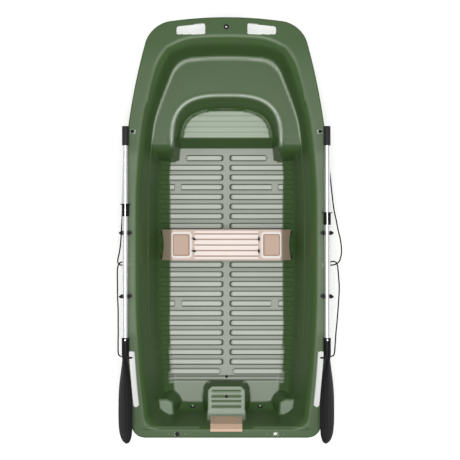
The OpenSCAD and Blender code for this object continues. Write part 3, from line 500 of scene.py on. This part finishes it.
liner_rows = np.delete(liner_rows, 40 + 2 * np.arange(surplus))


def bent(x, t):
    """Rows lie straight across amidships and take the arc of the bow edge at the bow."""
    return t + crown(x) * ease((t - 950) / 150)


grid_x = across_lines(INNER, OUTER, liner_rows, 7)
grid_y = bent(grid_x, liner_rows[:, None])
grid_z, channel_share = liner_height(grid_x, grid_y)
LIP = [(2.2, 0.4), (4.6, 2.0), (6.4, 4.6), (7, 7.5), (7, 30), (2, 30), (2, 9)]
liner = moulding("inner_skin", grid_x, grid_y, grid_z, WALL, LIP)
print("inner skin:", grid_x.shape, len(liner.data.polygons), "faces")

# %% [markdown]
# ## The outer skin
# The hull is the second moulding. Its flange lies flat under the gunwale, its topsides stand almost upright, and
# its bottom is flat with three keels that it stands and slides on. The bow rises in a long rounded scow shape. It is
# a height over the same kind of grid as the liner, so the same shell serves, turned over.

# %% Heights of the hull's lower face
def hull_low(x, y):
    """Lower face: the flange, or the smooth larger of sides and bow and of that and the stern, with keels."""
    flange = sheer(y) - 8.7
    part = np.interp(inner_edge(y) + 4 - np.abs(x), [0, 22, 46, 100, 200, 300], [0, .58, .8, .92, .98, 1])
    sides = mix(flange, 20, part)
    fore = np.interp(y - crown(x), [400, 600, 750, 900, 1040, 1096, 1121], [-120, -30, 35, 115, 240, 330, 452])
    e = y + 1238 - 28 * ease((np.abs(x) - 160) / 50)
    aft = flange + np.interp(e, [0, 8, 26, 90, 200], [0, -180, -340, -400, -520])
    length = ease((748 - y) / 200) * ease((y + 1160) / 120)
    keel = 20 * length * np.maximum(1 - ease((np.abs(x) - 12) / 14), 1 - ease((np.abs(np.abs(x) - 304) - 12) / 14))
    return np.minimum(flange, soft_max(soft_max(sides, fore, 50), aft, 30) - keel)


HULL_INNER = [0, 6, 12, 16, 20, 24, 28, 44, 60, 80, 100, 120, 140, 160, 180, 200, 220, 240, 260, 272, 278, 282, 286,
              290, 296, 304, 312, 318, 322, 326, 330, 338, 348, FOOT]
HULL_OUTER = [258, 245, 230, 215, 200, 185, 172, 160, 150, 140, 132, 124, 118, 112, 106, 100, 95, 90, 86, 82, 79, 76,
              74, 72, 70, 66, 60, 50, 40, 30, 20, 12, 10]
hull_rows = np.concatenate([-1243.5 + 4.0 * np.arange(14), np.linspace(-1186, 740, 160), np.linspace(748, 1090, 50),
                            np.linspace(1094, 1218, 37)])
hull_rows = hull_rows[:len(hull_rows) - (len(hull_rows) - 1) % COARSE]
hull_x = across_lines(HULL_INNER, HULL_OUTER, hull_rows, 9)
hull_y = bent(hull_x, hull_rows[:, None])
FLANGE_EDGE = [(0.6, 0.6), (0.6, 3.2), (0, 3.6)]
hull = moulding("outer_skin", hull_x, hull_y, -hull_low(hull_x, hull_y), WALL, FLANGE_EDGE, flip=True)
print("outer skin:", hull_x.shape, len(hull.data.polygons), "faces")

# %% [markdown]
# ## Openings through both skins
# Hand-holds at the bow, finger slots behind the grab bars, and round holes for ropes, rowlocks and bushes are
# routed out after moulding. Working holes into the grid would bend its lines, so upright prisms stand where the
# router goes, and a Boolean takes them out of both skins at once.

# %% Outlines of the openings
def prism(outline, low, high):
    """Points and faces of an upright prism over an outline that runs anticlockwise."""
    n = len(outline)
    points = np.concatenate([np.column_stack([outline, np.full(n, low)]), np.column_stack([outline, np.full(n, high)])])
    a = np.arange(n)
    b = (a + 1) % n
    sides = np.stack([a, b, b + n, a + n], 1)
    fan = np.stack([np.zeros(n - 2, int), np.arange(2, n), np.arange(1, n - 1)], 1)
    return points, sides, np.concatenate([fan, fan[:, ::-1] + n])


def circle(x, y, r, sides=32):
    """An outline with its points on a circle."""
    a = 2 * np.pi * np.arange(sides) / sides
    return np.column_stack([x + r * np.cos(a), y + r * np.sin(a)])


def round_corners(corners, r, steps=6):
    """An outline with each corner replaced by an arc-like curve: a parabola between the points r away from it."""
    p = np.asarray(corners, float)
    before, after = np.roll(p, 1, 0) - p, np.roll(p, -1, 0) - p
    start = p + before / np.linalg.norm(before, axis=1)[:, None] * r
    end = p + after / np.linalg.norm(after, axis=1)[:, None] * r
    t = np.linspace(0, 1, steps + 1)[None, :, None]
    return ((1 - t) ** 2 * start[:, None] + 2 * t * (1 - t) * p[:, None] + t ** 2 * end[:, None]).reshape(-1, 2)


SLOT_HALF, BUSH_R = 14, 11.8
LOCK_X, LOCK_YS, MIDDLE_HOLE, STERN_HOLE, PAINTER_Y = 596.0, (-30, -405), (589, -218), (292, -1226), 1192
slot_y = np.linspace(-1051, -749, 24)
slot_x = half_side(slot_y) - 40
arc = np.linspace(0, np.pi, 12)[1:-1]
turn_x, turn_y = SLOT_HALF * np.cos(arc), SLOT_HALF * np.sin(arc)
slot = np.concatenate([np.column_stack([slot_x + SLOT_HALF, slot_y]),
                       np.column_stack([slot_x[-1] + turn_x, slot_y[-1] + turn_y]),
                       np.column_stack([slot_x - SLOT_HALF, slot_y])[::-1],
                       np.column_stack([slot_x[0] - turn_x, slot_y[0] - turn_y])])
handhold = round_corners([(127, 1148), (293, 1148), (293, 1193), (127, 1211)], 12)
round_holes = [(LOCK_X, y) for y in LOCK_YS] + [FORE_HOLE, MIDDLE_HOLE, STERN_HOLE]
holes = [handhold, slot] + [circle(x, y, BUSH_R) for x, y in round_holes]
outlines = holes + [(h * (-1, 1))[::-1] for h in holes] + [circle(0, PAINTER_Y, BUSH_R)]
parts, count = [], 0
for outline in outlines:
    points, quads, triangles = prism(outline, low=340, high=520)
    parts.append((points, quads + count, triangles + count))
    count += len(points)
cutter = mesh_piece("cutter", *(np.concatenate([p[k] for p in parts]) for k in range(3)), smooth=False)
print("cutter:", len(outlines), "prisms")

# %% [markdown]
# ## The colour of the cockpit, with painted light and shade
# One pigment runs through the moulding, and light and shade are painted over it: level faces are painted paler and
# greyer than the slopes as a painted reflection of the softbox, channel edges and grooves get painted shade, a painted
# sheen runs along the gunwale amidships, and raised lips, beads and edges get painted highlights. Image textures would
# need unwrapping, so each point of the grid gets its colour from the same distances that shaped it.

# %% A colour for every point
PLAIN_GREEN = (0.058, 0.118, 0.034)
COCKPIT_AFT = -965


def keep_colour_and_light(piece, colours):
    """A colour for every point, kept in the mesh for its material to read; points past the end are plain green."""
    full = np.tile((*PLAIN_GREEN, 1.0), (len(piece.data.vertices), 1)).astype(np.float32)
    full[:len(colours), :3] = colours
    piece.data.attributes.new("paint", "FLOAT_COLOR", "POINT").data.foreach_set("color", full.ravel())


depth = inside(grid_x, grid_y)
treads = (grid_y < 350) & (grid_y > COCKPIT_AFT)
level = ease((FOOT - np.abs(grid_x)) / 5) * ease((FLOOR + 5 + 30 * treads - grid_z) / 5)
row = np.clip(np.round((FIRST_CHANNEL - grid_y) / PITCH), 0, CHANNELS - 1)
from_channel = rounded_box(np.abs(grid_x), grid_y, 215.5, FIRST_CHANNEL - row * PITCH, 195.5, 16.5, 11)
wide_channel = rounded_box(np.abs(grid_x), grid_y, 225, FIRST_CHANNEL - row * PITCH, 190, 10.5, 5)
# Masks for the painted shade along the channels: their walls, and a strip just outside them.
rim = (1 - channel_share) * ease((6 - from_channel) / 4) * (channel_share > 0.02)
edge = channel_share * ease(wide_channel / 3) + rim
aft_part = ease((grid_y - COCKPIT_AFT) / 8)
# The colour of every grid point starts plain green; the tints below paint light and shade over it.
paint = np.zeros((*grid_x.shape, 3)) + PLAIN_GREEN


def tint(share, colour):
    """Blends the grid's colour towards a colour where share is 1; the calls below use it mostly to paint light and
    shade.
    """
    paint[:] = mix(paint, np.array(colour), np.clip(share, 0, 1)[..., None])


# Painted sheen: the gunwale top is made paler amidships, between Y 480 and -660.
tint((depth < 0) * ease((480 - grid_y) / 60) * ease((grid_y + 660) / 60), (0.1, 0.165, 0.075))
tint((depth < 0) * ease((grid_y - 470) / 60), (0.058, 0.12, 0.034))
# Painted reflection of the softbox: the level tread from the stern pods to the bow block is made paler and greyer.
tint(level * aft_part * ease((497 - grid_y) / 4), (0.4, 0.43, 0.37))
# Painted reflection: the level channel floors are made paler still, as a mirror of the softbox would look.
tint(level * aft_part * channel_share, (0.62, 0.66, 0.58))
# Painted shade along the channel walls and in a strip just outside each channel.
tint(level * edge, (0.05, 0.075, 0.03))
# Painted reflection on the level floor among the stern pods, weaker than on the tread.
tint(level * (1 - aft_part) * ease((grid_y + 1085) / 6), (0.27, 0.33, 0.24))
# Painted shade in the two shallow grooves across the floor at Y -925 and -950.
tint(np.exp(-((grid_y + 925) / 4) ** 2) * level + np.exp(-((grid_y + 950) / 4) ** 2) * level, (0.07, 0.1, 0.05))
# Painted reflection of the softbox on the level top of the bow platform.
platform = ease((grid_z - 296) / 3) * ease((305 - grid_z) / 2) * ease((grid_y - 500) / 20) * (depth > 60)
tint(platform * 0.9, (0.19, 0.265, 0.165))
# Painted reflection on the level top of the bow step, and painted highlights on the tops of its ribs.
step_top = ease((0.93 - arch(grid_x, grid_y, *STEP_ARCH)) / 0.02) * ease((grid_y - 556) / 4)
tint(step_top * 0.9, (0.13, 0.2, 0.105))
tint(step_top * ease((grid_z - 170.5) / 2), (0.45, 0.53, 0.41))
# Painted reflection on the middle pod's level top, weaker on its grooves and round its edge.
pod_top = ease((grid_z - 193) / 4) * (grid_y < -940) * (np.abs(grid_x) < 114) * (grid_y > -1166)
tint(pod_top * ease((196.2 - grid_z) / 3), (0.16, 0.22, 0.14))
tint(pod_top * ease((grid_z - 196.4) / 3), (0.36, 0.43, 0.33))
# Painted reflection on the level tops of the side pods.
side_pod_top = (grid_z > 212) * (grid_z < 221) * (np.abs(grid_x) > 325) * (grid_y < -1050) * (depth > 60)
tint(side_pod_top, (0.22, 0.3, 0.2))
# Painted highlight along the lip round the arched recess of the bow block.
from_lip = arch(grid_x, grid_y, *NOSE_ARCH) - 1.0
lip_highlight = np.exp(-(from_lip / 0.022) ** 2) * ease((grid_y - 480) / 40) * (grid_y > 450)
tint(lip_highlight, (0.6, 0.68, 0.56))
# Painted highlight: a thin pale line 69 inside the cockpit's edge, towards the bow.
foot_highlight = np.exp(-((depth - 69) / 4.5) ** 2) * ease((grid_y - 470) / 120)
tint(foot_highlight * 0.9, (0.45, 0.53, 0.4))
# Painted highlight along the bead at the stern edge of the cockpit.
stern_highlight = np.exp(-((grid_y + 1191) / 4) ** 2) * ease((480 - np.abs(grid_x)) / 20) * ease((np.abs(grid_x) - 150) / 20)
tint(stern_highlight * 0.5, (0.26, 0.36, 0.22))
# Painted highlight along the cockpit's edge, where the gunwale turns down.
rim_highlight = np.exp(-((depth - 1) / 3.5) ** 2)
tint(rim_highlight * 0.6, (0.22, 0.31, 0.17))
UNPAINTED = np.zeros((0, 3))
keep_colour_and_light(liner, paint.reshape(-1, 3))
keep_colour_and_light(hull, UNPAINTED)
keep_colour_and_light(cutter, UNPAINTED)
print("painted points:", paint.shape[0] * paint.shape[1])

# %% Cutting the openings
def cut(piece):
    """Takes the cutter's prisms out of a piece for good."""
    step = piece.modifiers.new("openings", "BOOLEAN")
    step.object, step.operation, step.solver = cutter, "DIFFERENCE", "MANIFOLD"
    made = bpy.data.meshes.new_from_object(piece.evaluated_get(bpy.context.evaluated_depsgraph_get()))
    piece.modifiers.clear()
    piece.data = made
    made.shade_smooth()
    made.set_sharp_from_angle(angle=math.radians(MOULDING_SHARP))


cut(liner)
cut(hull)
bpy.data.objects.remove(cutter)
for piece, prefixes in ((liner, ("liner_", "cockpit_")), (hull, ("hull_",))):
    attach(piece, "hull")
    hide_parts(*[name for name in nodes if name.startswith(prefixes)])
    print(piece.name, "with openings:", len(piece.data.polygons), "faces")

# %% [markdown]
# ## Oar blades
# A blade is moulded in black plastic: a thick neck that grips the tube, spreading into a flat spoon with a stiff
# spine down its middle. A subdivided cage would round the tip off too much, so sections along it, flattened ovals,
# are drawn as one skin from neck to tip, and the neck is a turned sleeve.

# %% Blades
RINGS = np.array([(0, .34, 15, 0), (60, .5, 13, 0), (120, .7, 11, 0), (180, .87, 9, 0), (240, .97, 7.5, 0),
                  (300, .99, 6.5, 0), (360, 1, 6, 0), (420, .98, 5.5, .01), (465, .88, 5, .03), (495, .68, 4.5, .06),
                  (512, .42, 4, .09), (520, .12, 3, .12)])
OAR_Z, SPOON_START, SPOON_HALF, TIP_START, TIP = 480.0, -753, 65, 465, 55
BLADE_SIDES, NECK_SIDES, BLADE_ROLL, TURNED_SHARP = 40, 48, math.radians(45), 35
NECK = np.array([(-649, 17.2), (-649, 20.5), (-650.5, 22), (-700, 22), (-745, 22), (-765, 20), (-790, 16), (-800, 12),
                 (-800, 0.5), (-748, 0.5), (-748, 17.2)])  # place along the oar and radius
for name, side in (("port", -1), ("starboard", 1)):
    tip = TIP_START + TIP * np.sin(np.linspace(0, np.pi / 2, 30))
    place = np.concatenate([np.linspace(0, TIP_START, 94)[:-1], tip])
    wide, thick, shift = (np.interp(place, RINGS[:, 0], RINGS[:, k]) for k in (1, 2, 3))
    for values in (wide, thick):
        values[3:-12] = np.convolve(values, np.ones(7) / 7, "same")[3:-12]
    a = 2 * np.pi * np.arange(BLADE_SIDES) / BLADE_SIDES
    across = SPOON_HALF * (wide[:, None] * np.cos(a) - shift[:, None])
    long_ribs = np.exp(-(across / 7) ** 2) + np.exp(-((np.abs(across) - 26) / 5) ** 2)
    spine = 1.6 * long_ribs * ease((place - 150) / 60)[:, None] * ease((470 - place) / 60)[:, None]
    over = (thick[:, None] * (1 - 0.35 * np.cos(a) ** 2) + spine) * np.sin(a)
    x = side * (LOCK_X + across * math.cos(BLADE_ROLL) + over * math.sin(BLADE_ROLL))
    z = OAR_Z - across * math.sin(BLADE_ROLL) + over * math.cos(BLADE_ROLL)
    y = np.broadcast_to((SPOON_START - place)[:, None], x.shape)
    body = np.stack([x, y, z], 2).reshape(-1, 3)
    ends = np.array([body[:BLADE_SIDES].mean(0), body[-BLADE_SIDES:].mean(0)])
    k = np.arange(BLADE_SIDES)
    b, last, end = (k + 1) % BLADE_SIDES, len(body) - BLADE_SIDES, np.full_like(k, len(body))
    quads = grid_faces(len(place), BLADE_SIDES, ring_columns=True)
    caps = np.concatenate([np.stack([b, k, end], 1), np.stack([last + k, last + b, end + 1], 1)])
    if side < 0:
        quads, caps = quads[:, ::-1], caps[:, ::-1]
    blade = mesh_piece(f"{name}_spoon", np.concatenate([body, ends]), quads, caps, sharp_angle=50)
    a = 2 * np.pi * np.arange(NECK_SIDES) / NECK_SIDES
    along, r = NECK[:, :1], NECK[:, 1:]
    ring = np.stack([side * LOCK_X + r * np.cos(a), np.repeat(along, NECK_SIDES, 1), OAR_Z + r * np.sin(a)], 2)
    turned = grid_faces(len(NECK), NECK_SIDES, ring_rows=True, ring_columns=True)
    sleeve = mesh_piece(f"{name}_neck", ring.reshape(-1, 3), turned, sharp_angle=TURNED_SHARP)
    for piece in (blade, sleeve):
        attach(piece, f"{name}_oar")
    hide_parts(f"{name}_blade")
    print(name, "blade:", len(blade.data.polygons), "faces")

# %% [markdown]
# ## The thwart
# The thwart is a removable plastic seat that drops in across the cockpit. Its top has five rounded bars to sit on,
# a shallow tray at each end, and ends that slope down to the bilge. It could be bars and trays joined together, but
# it is one moulding like the skins, so the same shell serves: heights first, then a lip round the edge.

# %% Thwart top
BENCH_Y, BENCH_HALF, BENCH_END, END_START = -104.0, 95.0, 405.5, 340
BAR_PITCH = 34
bench_lines = np.concatenate([
    np.arange(0, 180, 9.0), np.arange(184, 216, 4.0), [217, 219, 221, 223, 225, 227, 229, 232],
    np.arange(238, 322, 9.0), [322, 325, 327, 329, 331, 333, 336, END_START], np.linspace(345, BENCH_END, 16)])
bench_lines = bench_lines[:len(bench_lines) - (len(bench_lines) - 1) % 2]
bench_rows = np.linspace(-94, 94, 97)
hollow_end = 14 * (1 - (bench_rows / BENCH_HALF) ** 2)
seat_x = np.concatenate([-bench_lines[:0:-1], bench_lines])[None]
seat_x = seat_x - np.sign(seat_x) * ease((np.abs(seat_x) - END_START) / 60) * hollow_end[:, None]
seat_y = np.broadcast_to(bench_rows[:, None], seat_x.shape)
seat_z = plot_line(np.abs(seat_x), (0, 337, 406), (250, 250, 123), (1, 8, 1))
from_bar = np.abs((seat_y + BAR_PITCH * 2.5) % BAR_PITCH - BAR_PITCH / 2)
on_bars = ease((196 - np.abs(seat_x)) / 3) * ease((86 - np.abs(seat_y)) / 3)
groove = ease((4.5 - from_bar) / 2) * on_bars
tray = rounded_box(np.abs(seat_x), seat_y, 276, 0, 55, 70, 14)
tray_rim = ease((5 - np.abs(tray - 1)) / 3) * (np.abs(seat_x) < END_START)
seat_z = seat_z - 3.0 * groove - 11 * ease((-4 - tray) / 5) + 2.6 * tray_rim
SEAT_LIP = [(0.6, 0.8), (1, 3), (1, 14), (-2, 14), (-2, 6)]
seat = moulding("thwart_top", seat_x, seat_y + BENCH_Y, seat_z, WALL, SEAT_LIP)
# The thwart's tan, paler on the bars; painted shade in the bar grooves, in the tray hollows and on the sloping ends,
# and a painted highlight on the tray rims.
seat_colour_and_light = np.zeros((*seat_x.shape, 3)) + (0.66, 0.5, 0.42)
for share, shade in ((on_bars, (0.97, 0.85, 0.79)), (groove, (0.4, 0.27, 0.2)),
                     (ease((-3 - tray) / 3), (0.56, 0.38, 0.28)),
                     (ease((9 - np.abs(tray - 3)) / 4) * (np.abs(seat_x) < END_START), (1.0, 0.93, 0.89)),
                     (ease((np.abs(seat_x) - 338) / 5), (0.6, 0.45, 0.35))):
    seat_colour_and_light = mix(seat_colour_and_light, np.array(shade), np.clip(share, 0, 1)[..., None])
keep_colour_and_light(seat, seat_colour_and_light.reshape(-1, 3))
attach(seat, "bench")
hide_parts("bench_top")
print("thwart:", len(seat.data.polygons), "faces")

# %% [markdown]
# ## Small black studs
# Three dark studs sit on the middle line: one on the bow step, one in the strip before the middle pod, and one on
# top of the pod. Each is a low turned disc with a hollow middle. A cylinder with bevels would do, but a profile of
# seven points gives its rim and hollow at once.

# %% Studs
def lathe(name, profile, place, sides=40):
    """A turned piece: the profile's (radius, height) pairs swept round an upright axis at place."""
    a = 2 * np.pi * np.arange(sides) / sides
    r, h = np.asarray(profile, float).T
    ring = np.stack([place[0] + r[:, None] * np.cos(a), place[1] + r[:, None] * np.sin(a),
                     place[2] + np.repeat(h[:, None], sides, 1)], 2)
    turned = grid_faces(len(r), sides, ring_rows=True, ring_columns=True)
    return mesh_piece(name, ring.reshape(-1, 3), turned, sharp_angle=TURNED_SHARP)


STUD = [(0.3, -3), (9, -3), (9, 1.5), (8, 2.6), (5.5, 2.6), (4.5, 1.2), (0.3, 1.2)]
for name, place in (("step_stud", (0, 650, STEP + 1)), ("floor_stud", (0, -928, FLOOR)),
                    ("pod_stud", (0, -1036, MIDDLE_POD - 1))):
    stud = lathe(name, STUD, place)
    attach(stud, "hull")
    print(name, "faces:", len(stud.data.polygons))

# %% [markdown]
# ## Materials
# A material is a small chain of sums. Nodes could be placed and linked one by one, but a chain reads better as a
# formula: a value in it can be added or multiplied like a number, and each sign puts one maths node in the chain.
# All of them read the place on the boat in metres or a colour that is kept in the mesh.

# %% Values, and a maker of materials
class Value:
    """One output of a node. Signs between values, or between a value and a number, make maths nodes."""

    def __init__(self, maker, socket):
        self.maker, self.socket = maker, socket

    def maths(self, operation, a, b):
        return self.maker.node("ShaderNodeMath", {"operation": operation}, {0: a, 1: b})

    def __add__(self, other): return self.maths("ADD", self, other)
    def __radd__(self, other): return self.maths("ADD", other, self)
    def __mul__(self, other): return self.maths("MULTIPLY", self, other)
    def __rmul__(self, other): return self.maths("MULTIPLY", other, self)


class Finish:
    """A material with a main shader. node() adds any other node from its type, settings and inputs."""

    def __init__(self, name, colour, roughness, **constants):
        self.material = bpy.data.materials.new(name)
        self.material.use_nodes = True
        self.tree = self.material.node_tree
        self.shader = self.tree.nodes["Principled BSDF"]
        self.put(self.shader, {"Base Color": colour, "Roughness": roughness, **constants})
        self.material.diffuse_color = (*colour, 1)

    def put(self, node, inputs):
        for key, value in inputs.items():
            if isinstance(value, Value):
                self.tree.links.new(value.socket, node.inputs[key])
            elif isinstance(value, tuple) and len(value) == 3 and node.inputs[key].type == "RGBA":
                node.inputs[key].default_value = (*value, 1)
            else:
                node.inputs[key].default_value = value

    def node(self, kind, settings, inputs, output=0):
        node = self.tree.nodes.new(kind)
        for key, value in settings.items():
            setattr(node, key, value)
        self.put(node, inputs)
        return Value(self, node.outputs[output])

    def place(self):
        return self.node("ShaderNodeTexCoord", {}, {}, "Object")

    def noise(self, scale, detail=2.0):
        return self.node("ShaderNodeTexNoise", {}, {"Vector": self.place(), "Scale": scale, "Detail": detail})

    # Reads the colour kept in each mesh: the own colour together with any painted light and shade.
    def paint(self):
        return self.node("ShaderNodeAttribute", {"attribute_name": "paint"}, {}, "Color")

    def blend(self, share, a, b):
        """A colour between a and b: on a Mix node they are inputs 6 and 7, and the result is output 2."""
        return self.node("ShaderNodeMix", {"data_type": "RGBA"}, {0: share, 6: a, 7: b}, 2)

    def bump(self, height, distance, strength=1.0):
        normal = self.node("ShaderNodeBump", {}, {"Height": height, "Distance": distance, "Strength": strength})
        self.put(self.shader, {"Normal": normal})


# %% [markdown]
# Moulded polyethylene is satin, a little uneven, and scuffed by the sun, with a fine grain all over against slipping.
# The bright channel floors and the paler, greyer tread between them are a painted reflection in the kept colour; the
# roughness doesn't tell them apart.

# %% The green skins
skin_finish = Finish("green_moulding", PLAIN_GREEN, 0.38)
skin_finish.put(skin_finish.shader, {"Specular IOR Level": 0.35})
painted = skin_finish.paint()
cloud = skin_finish.noise(5.0)
skin_finish.put(skin_finish.shader, {
    "Base Color": skin_finish.blend(cloud * 0.25, painted, skin_finish.blend(0.75, (0.0, 0.0, 0.0), painted)),
    "Roughness": 0.34 + 0.1 * cloud})
skin_finish.bump(skin_finish.noise(900.0, 1.0), 0.0003, 0.4)
for piece in (liner, hull):
    piece.data.materials.clear()
    piece.data.materials.append(skin_finish.material)
print("skin finish:", len(skin_finish.tree.nodes), "nodes")

# %% [markdown]
# Smaller parts are black nylon, rubber, aluminium tube, beige thwart plastic, foam and a plywood board. Rope is
# a dark braid with a fine fleck. Each finish goes to the parts by the material slot that the frame's record gives.

# %% Finishes of the smaller parts
finishes = {}


def plain(slot_name, colour, roughness, grain_scale, grain_depth, shade, **constants):
    """A finish with one colour, a soft change of shade across the part and a fine grain."""
    made = Finish(slot_name + "_finish", colour, roughness, **constants)
    darker = tuple(c * (1 - shade) for c in colour)
    made.put(made.shader, {"Base Color": made.blend(made.noise(14.0), darker, colour)})
    made.bump(made.noise(grain_scale), grain_depth, 0.6)
    finishes[slot_name] = made


plain("green_trim", (0.12, 0.2, 0.1), 0.4, 700.0, 0.0003, 0.1)
plain("foam", (0.86, 0.85, 0.8), 0.8, 300.0, 0.001, 0.08)
plain("pad_plastic", (0.78, 0.53, 0.38), 0.42, 700.0, 0.0003, 0.08)
plain("tan_plastic", (0.66, 0.47, 0.36), 0.38, 700.0, 0.0003, 0.08)
plain("grey_plastic", (0.42, 0.44, 0.42), 0.4, 600.0, 0.0002, 0.1)
plain("steel", (0.62, 0.62, 0.63), 0.28, 500.0, 0.0002, 0.1, Metallic=1.0)
plain("oar_tube", (0.86, 0.86, 0.87), 0.3, 400.0, 0.0001, 0.05, Metallic=0.85)
plain("black_rubber", (0.012, 0.011, 0.012), 0.6, 500.0, 0.0006, 0.2)
plain("black_plastic", (0.008, 0.007, 0.009), 0.45, 600.0, 0.0004, 0.2, **{"Specular IOR Level": 0.18})
plain("rope", (0.012, 0.012, 0.013), 0.85, 900.0, 0.0008, 0.4, **{"Specular IOR Level": 0.2})
wood = Finish("board_finish", (0.5, 0.33, 0.17), 0.6)
rings = wood.node("ShaderNodeTexWave", {"bands_direction": "Z"},
                  {"Vector": wood.place(), "Scale": 18.0, "Distortion": 4.0}, "Fac")
grain_dark, grain_light = (0.42, 0.26, 0.12), (0.56, 0.38, 0.2)
wood.put(wood.shader, {"Base Color": wood.blend(rings, grain_dark, grain_light)})
finishes["board"] = wood
finishes["green_skin"] = skin_finish

node_slots = {part["node"]: part["material_slot"] for part in frame["record"]["subparts"]}
for name, node in nodes.items():
    made = finishes[node_slots[name]].material
    for k in range(max(1, len(node.material_slots))):
        if k < len(node.material_slots):
            node.material_slots[k].link = "OBJECT"
            node.material_slots[k].material = made
        else:
            node.data.materials.append(made)
black_pieces = [piece for piece in bpy.data.objects if piece.name.endswith(("_spoon", "_neck", "_stud"))]
for slot_name, pieces in (("rope", rope_pieces), ("black_plastic", black_pieces)):
    for piece in pieces:
        piece.data.materials.append(finishes[slot_name].material)
seat_finish = Finish("thwart_finish", (0.66, 0.5, 0.42), 0.42)
seat_finish.put(seat_finish.shader, {"Base Color": seat_finish.paint()})
seat_finish.bump(seat_finish.noise(700.0, 1.0), 0.0003, 0.4)
seat.data.materials.append(seat_finish.material)
print("finishes:", len(finishes))

# %% [markdown]
# ## Light and floor
# A big square softbox hangs over the boat; its reflection on the level floors is also painted into their colour. Small
# lamps or a sun would draw hard shadows, so three more long soft lights stand at the sides and the bow, and a pale
# world fills the rest. The floor is a plain, near-white sheet that glows a little, so that it stays white where the
# boat shades it.

# %% Lights, world and floor
def soft_light(name, place, size, power, aim):
    """A rectangular soft light at place, looking at aim."""
    data = bpy.data.lights.new(name, "AREA")
    data.shape, data.size, data.size_y, data.energy = "RECTANGLE", size[0], size[1], power
    lamp = bpy.data.objects.new(name, data)
    lamp.location = place
    way = np.array(aim, float) - np.array(place, float)
    lamp.rotation_euler = (math.atan2(math.hypot(way[0], way[1]), -way[2]), 0,
                           math.atan2(way[0], -way[1]) if abs(way[0]) + abs(way[1]) > 1e-6 else 0)
    bpy.context.collection.objects.link(lamp)
    print(name, power, "W")


soft_light("softbox_top", (0, -0.52, 9.0), (3.2, 3.24), 330, (0, -0.52, 0))
soft_light("softbox_port", (-5.5, 0.5, 3.2), (2.0, 5.0), 130, (0, 0, 0.3))
soft_light("softbox_starboard", (5.5, 0.5, 3.2), (2.0, 5.0), 130, (0, 0, 0.3))
soft_light("softbox_bow", (0, 6.0, 3.0), (4.0, 1.6), 55, (0, 0, 0.3))
world = bpy.data.worlds.new("pale_world")
world.use_nodes = True
world.node_tree.nodes["Background"].inputs["Color"].default_value = (1, 1, 1, 1)
world.node_tree.nodes["Background"].inputs["Strength"].default_value = 0.5
bpy.context.scene.world = world
bpy.context.scene.view_settings.view_transform = "Standard"

FAR = 9000
floor_corners = [(-FAR, -FAR, 0), (FAR, -FAR, 0), (FAR, FAR, 0), (-FAR, FAR, 0)]
floor = mesh_piece("studio_floor", floor_corners, [(0, 1, 2, 3)], smooth=False)
floor_finish = Finish("floor_finish", (0.93, 0.93, 0.93), 0.9)
floor_finish.put(floor_finish.shader, {"Emission Color": (1.0, 1.0, 1.0), "Emission Strength": 0.42})
floor.data.materials.append(floor_finish.material)
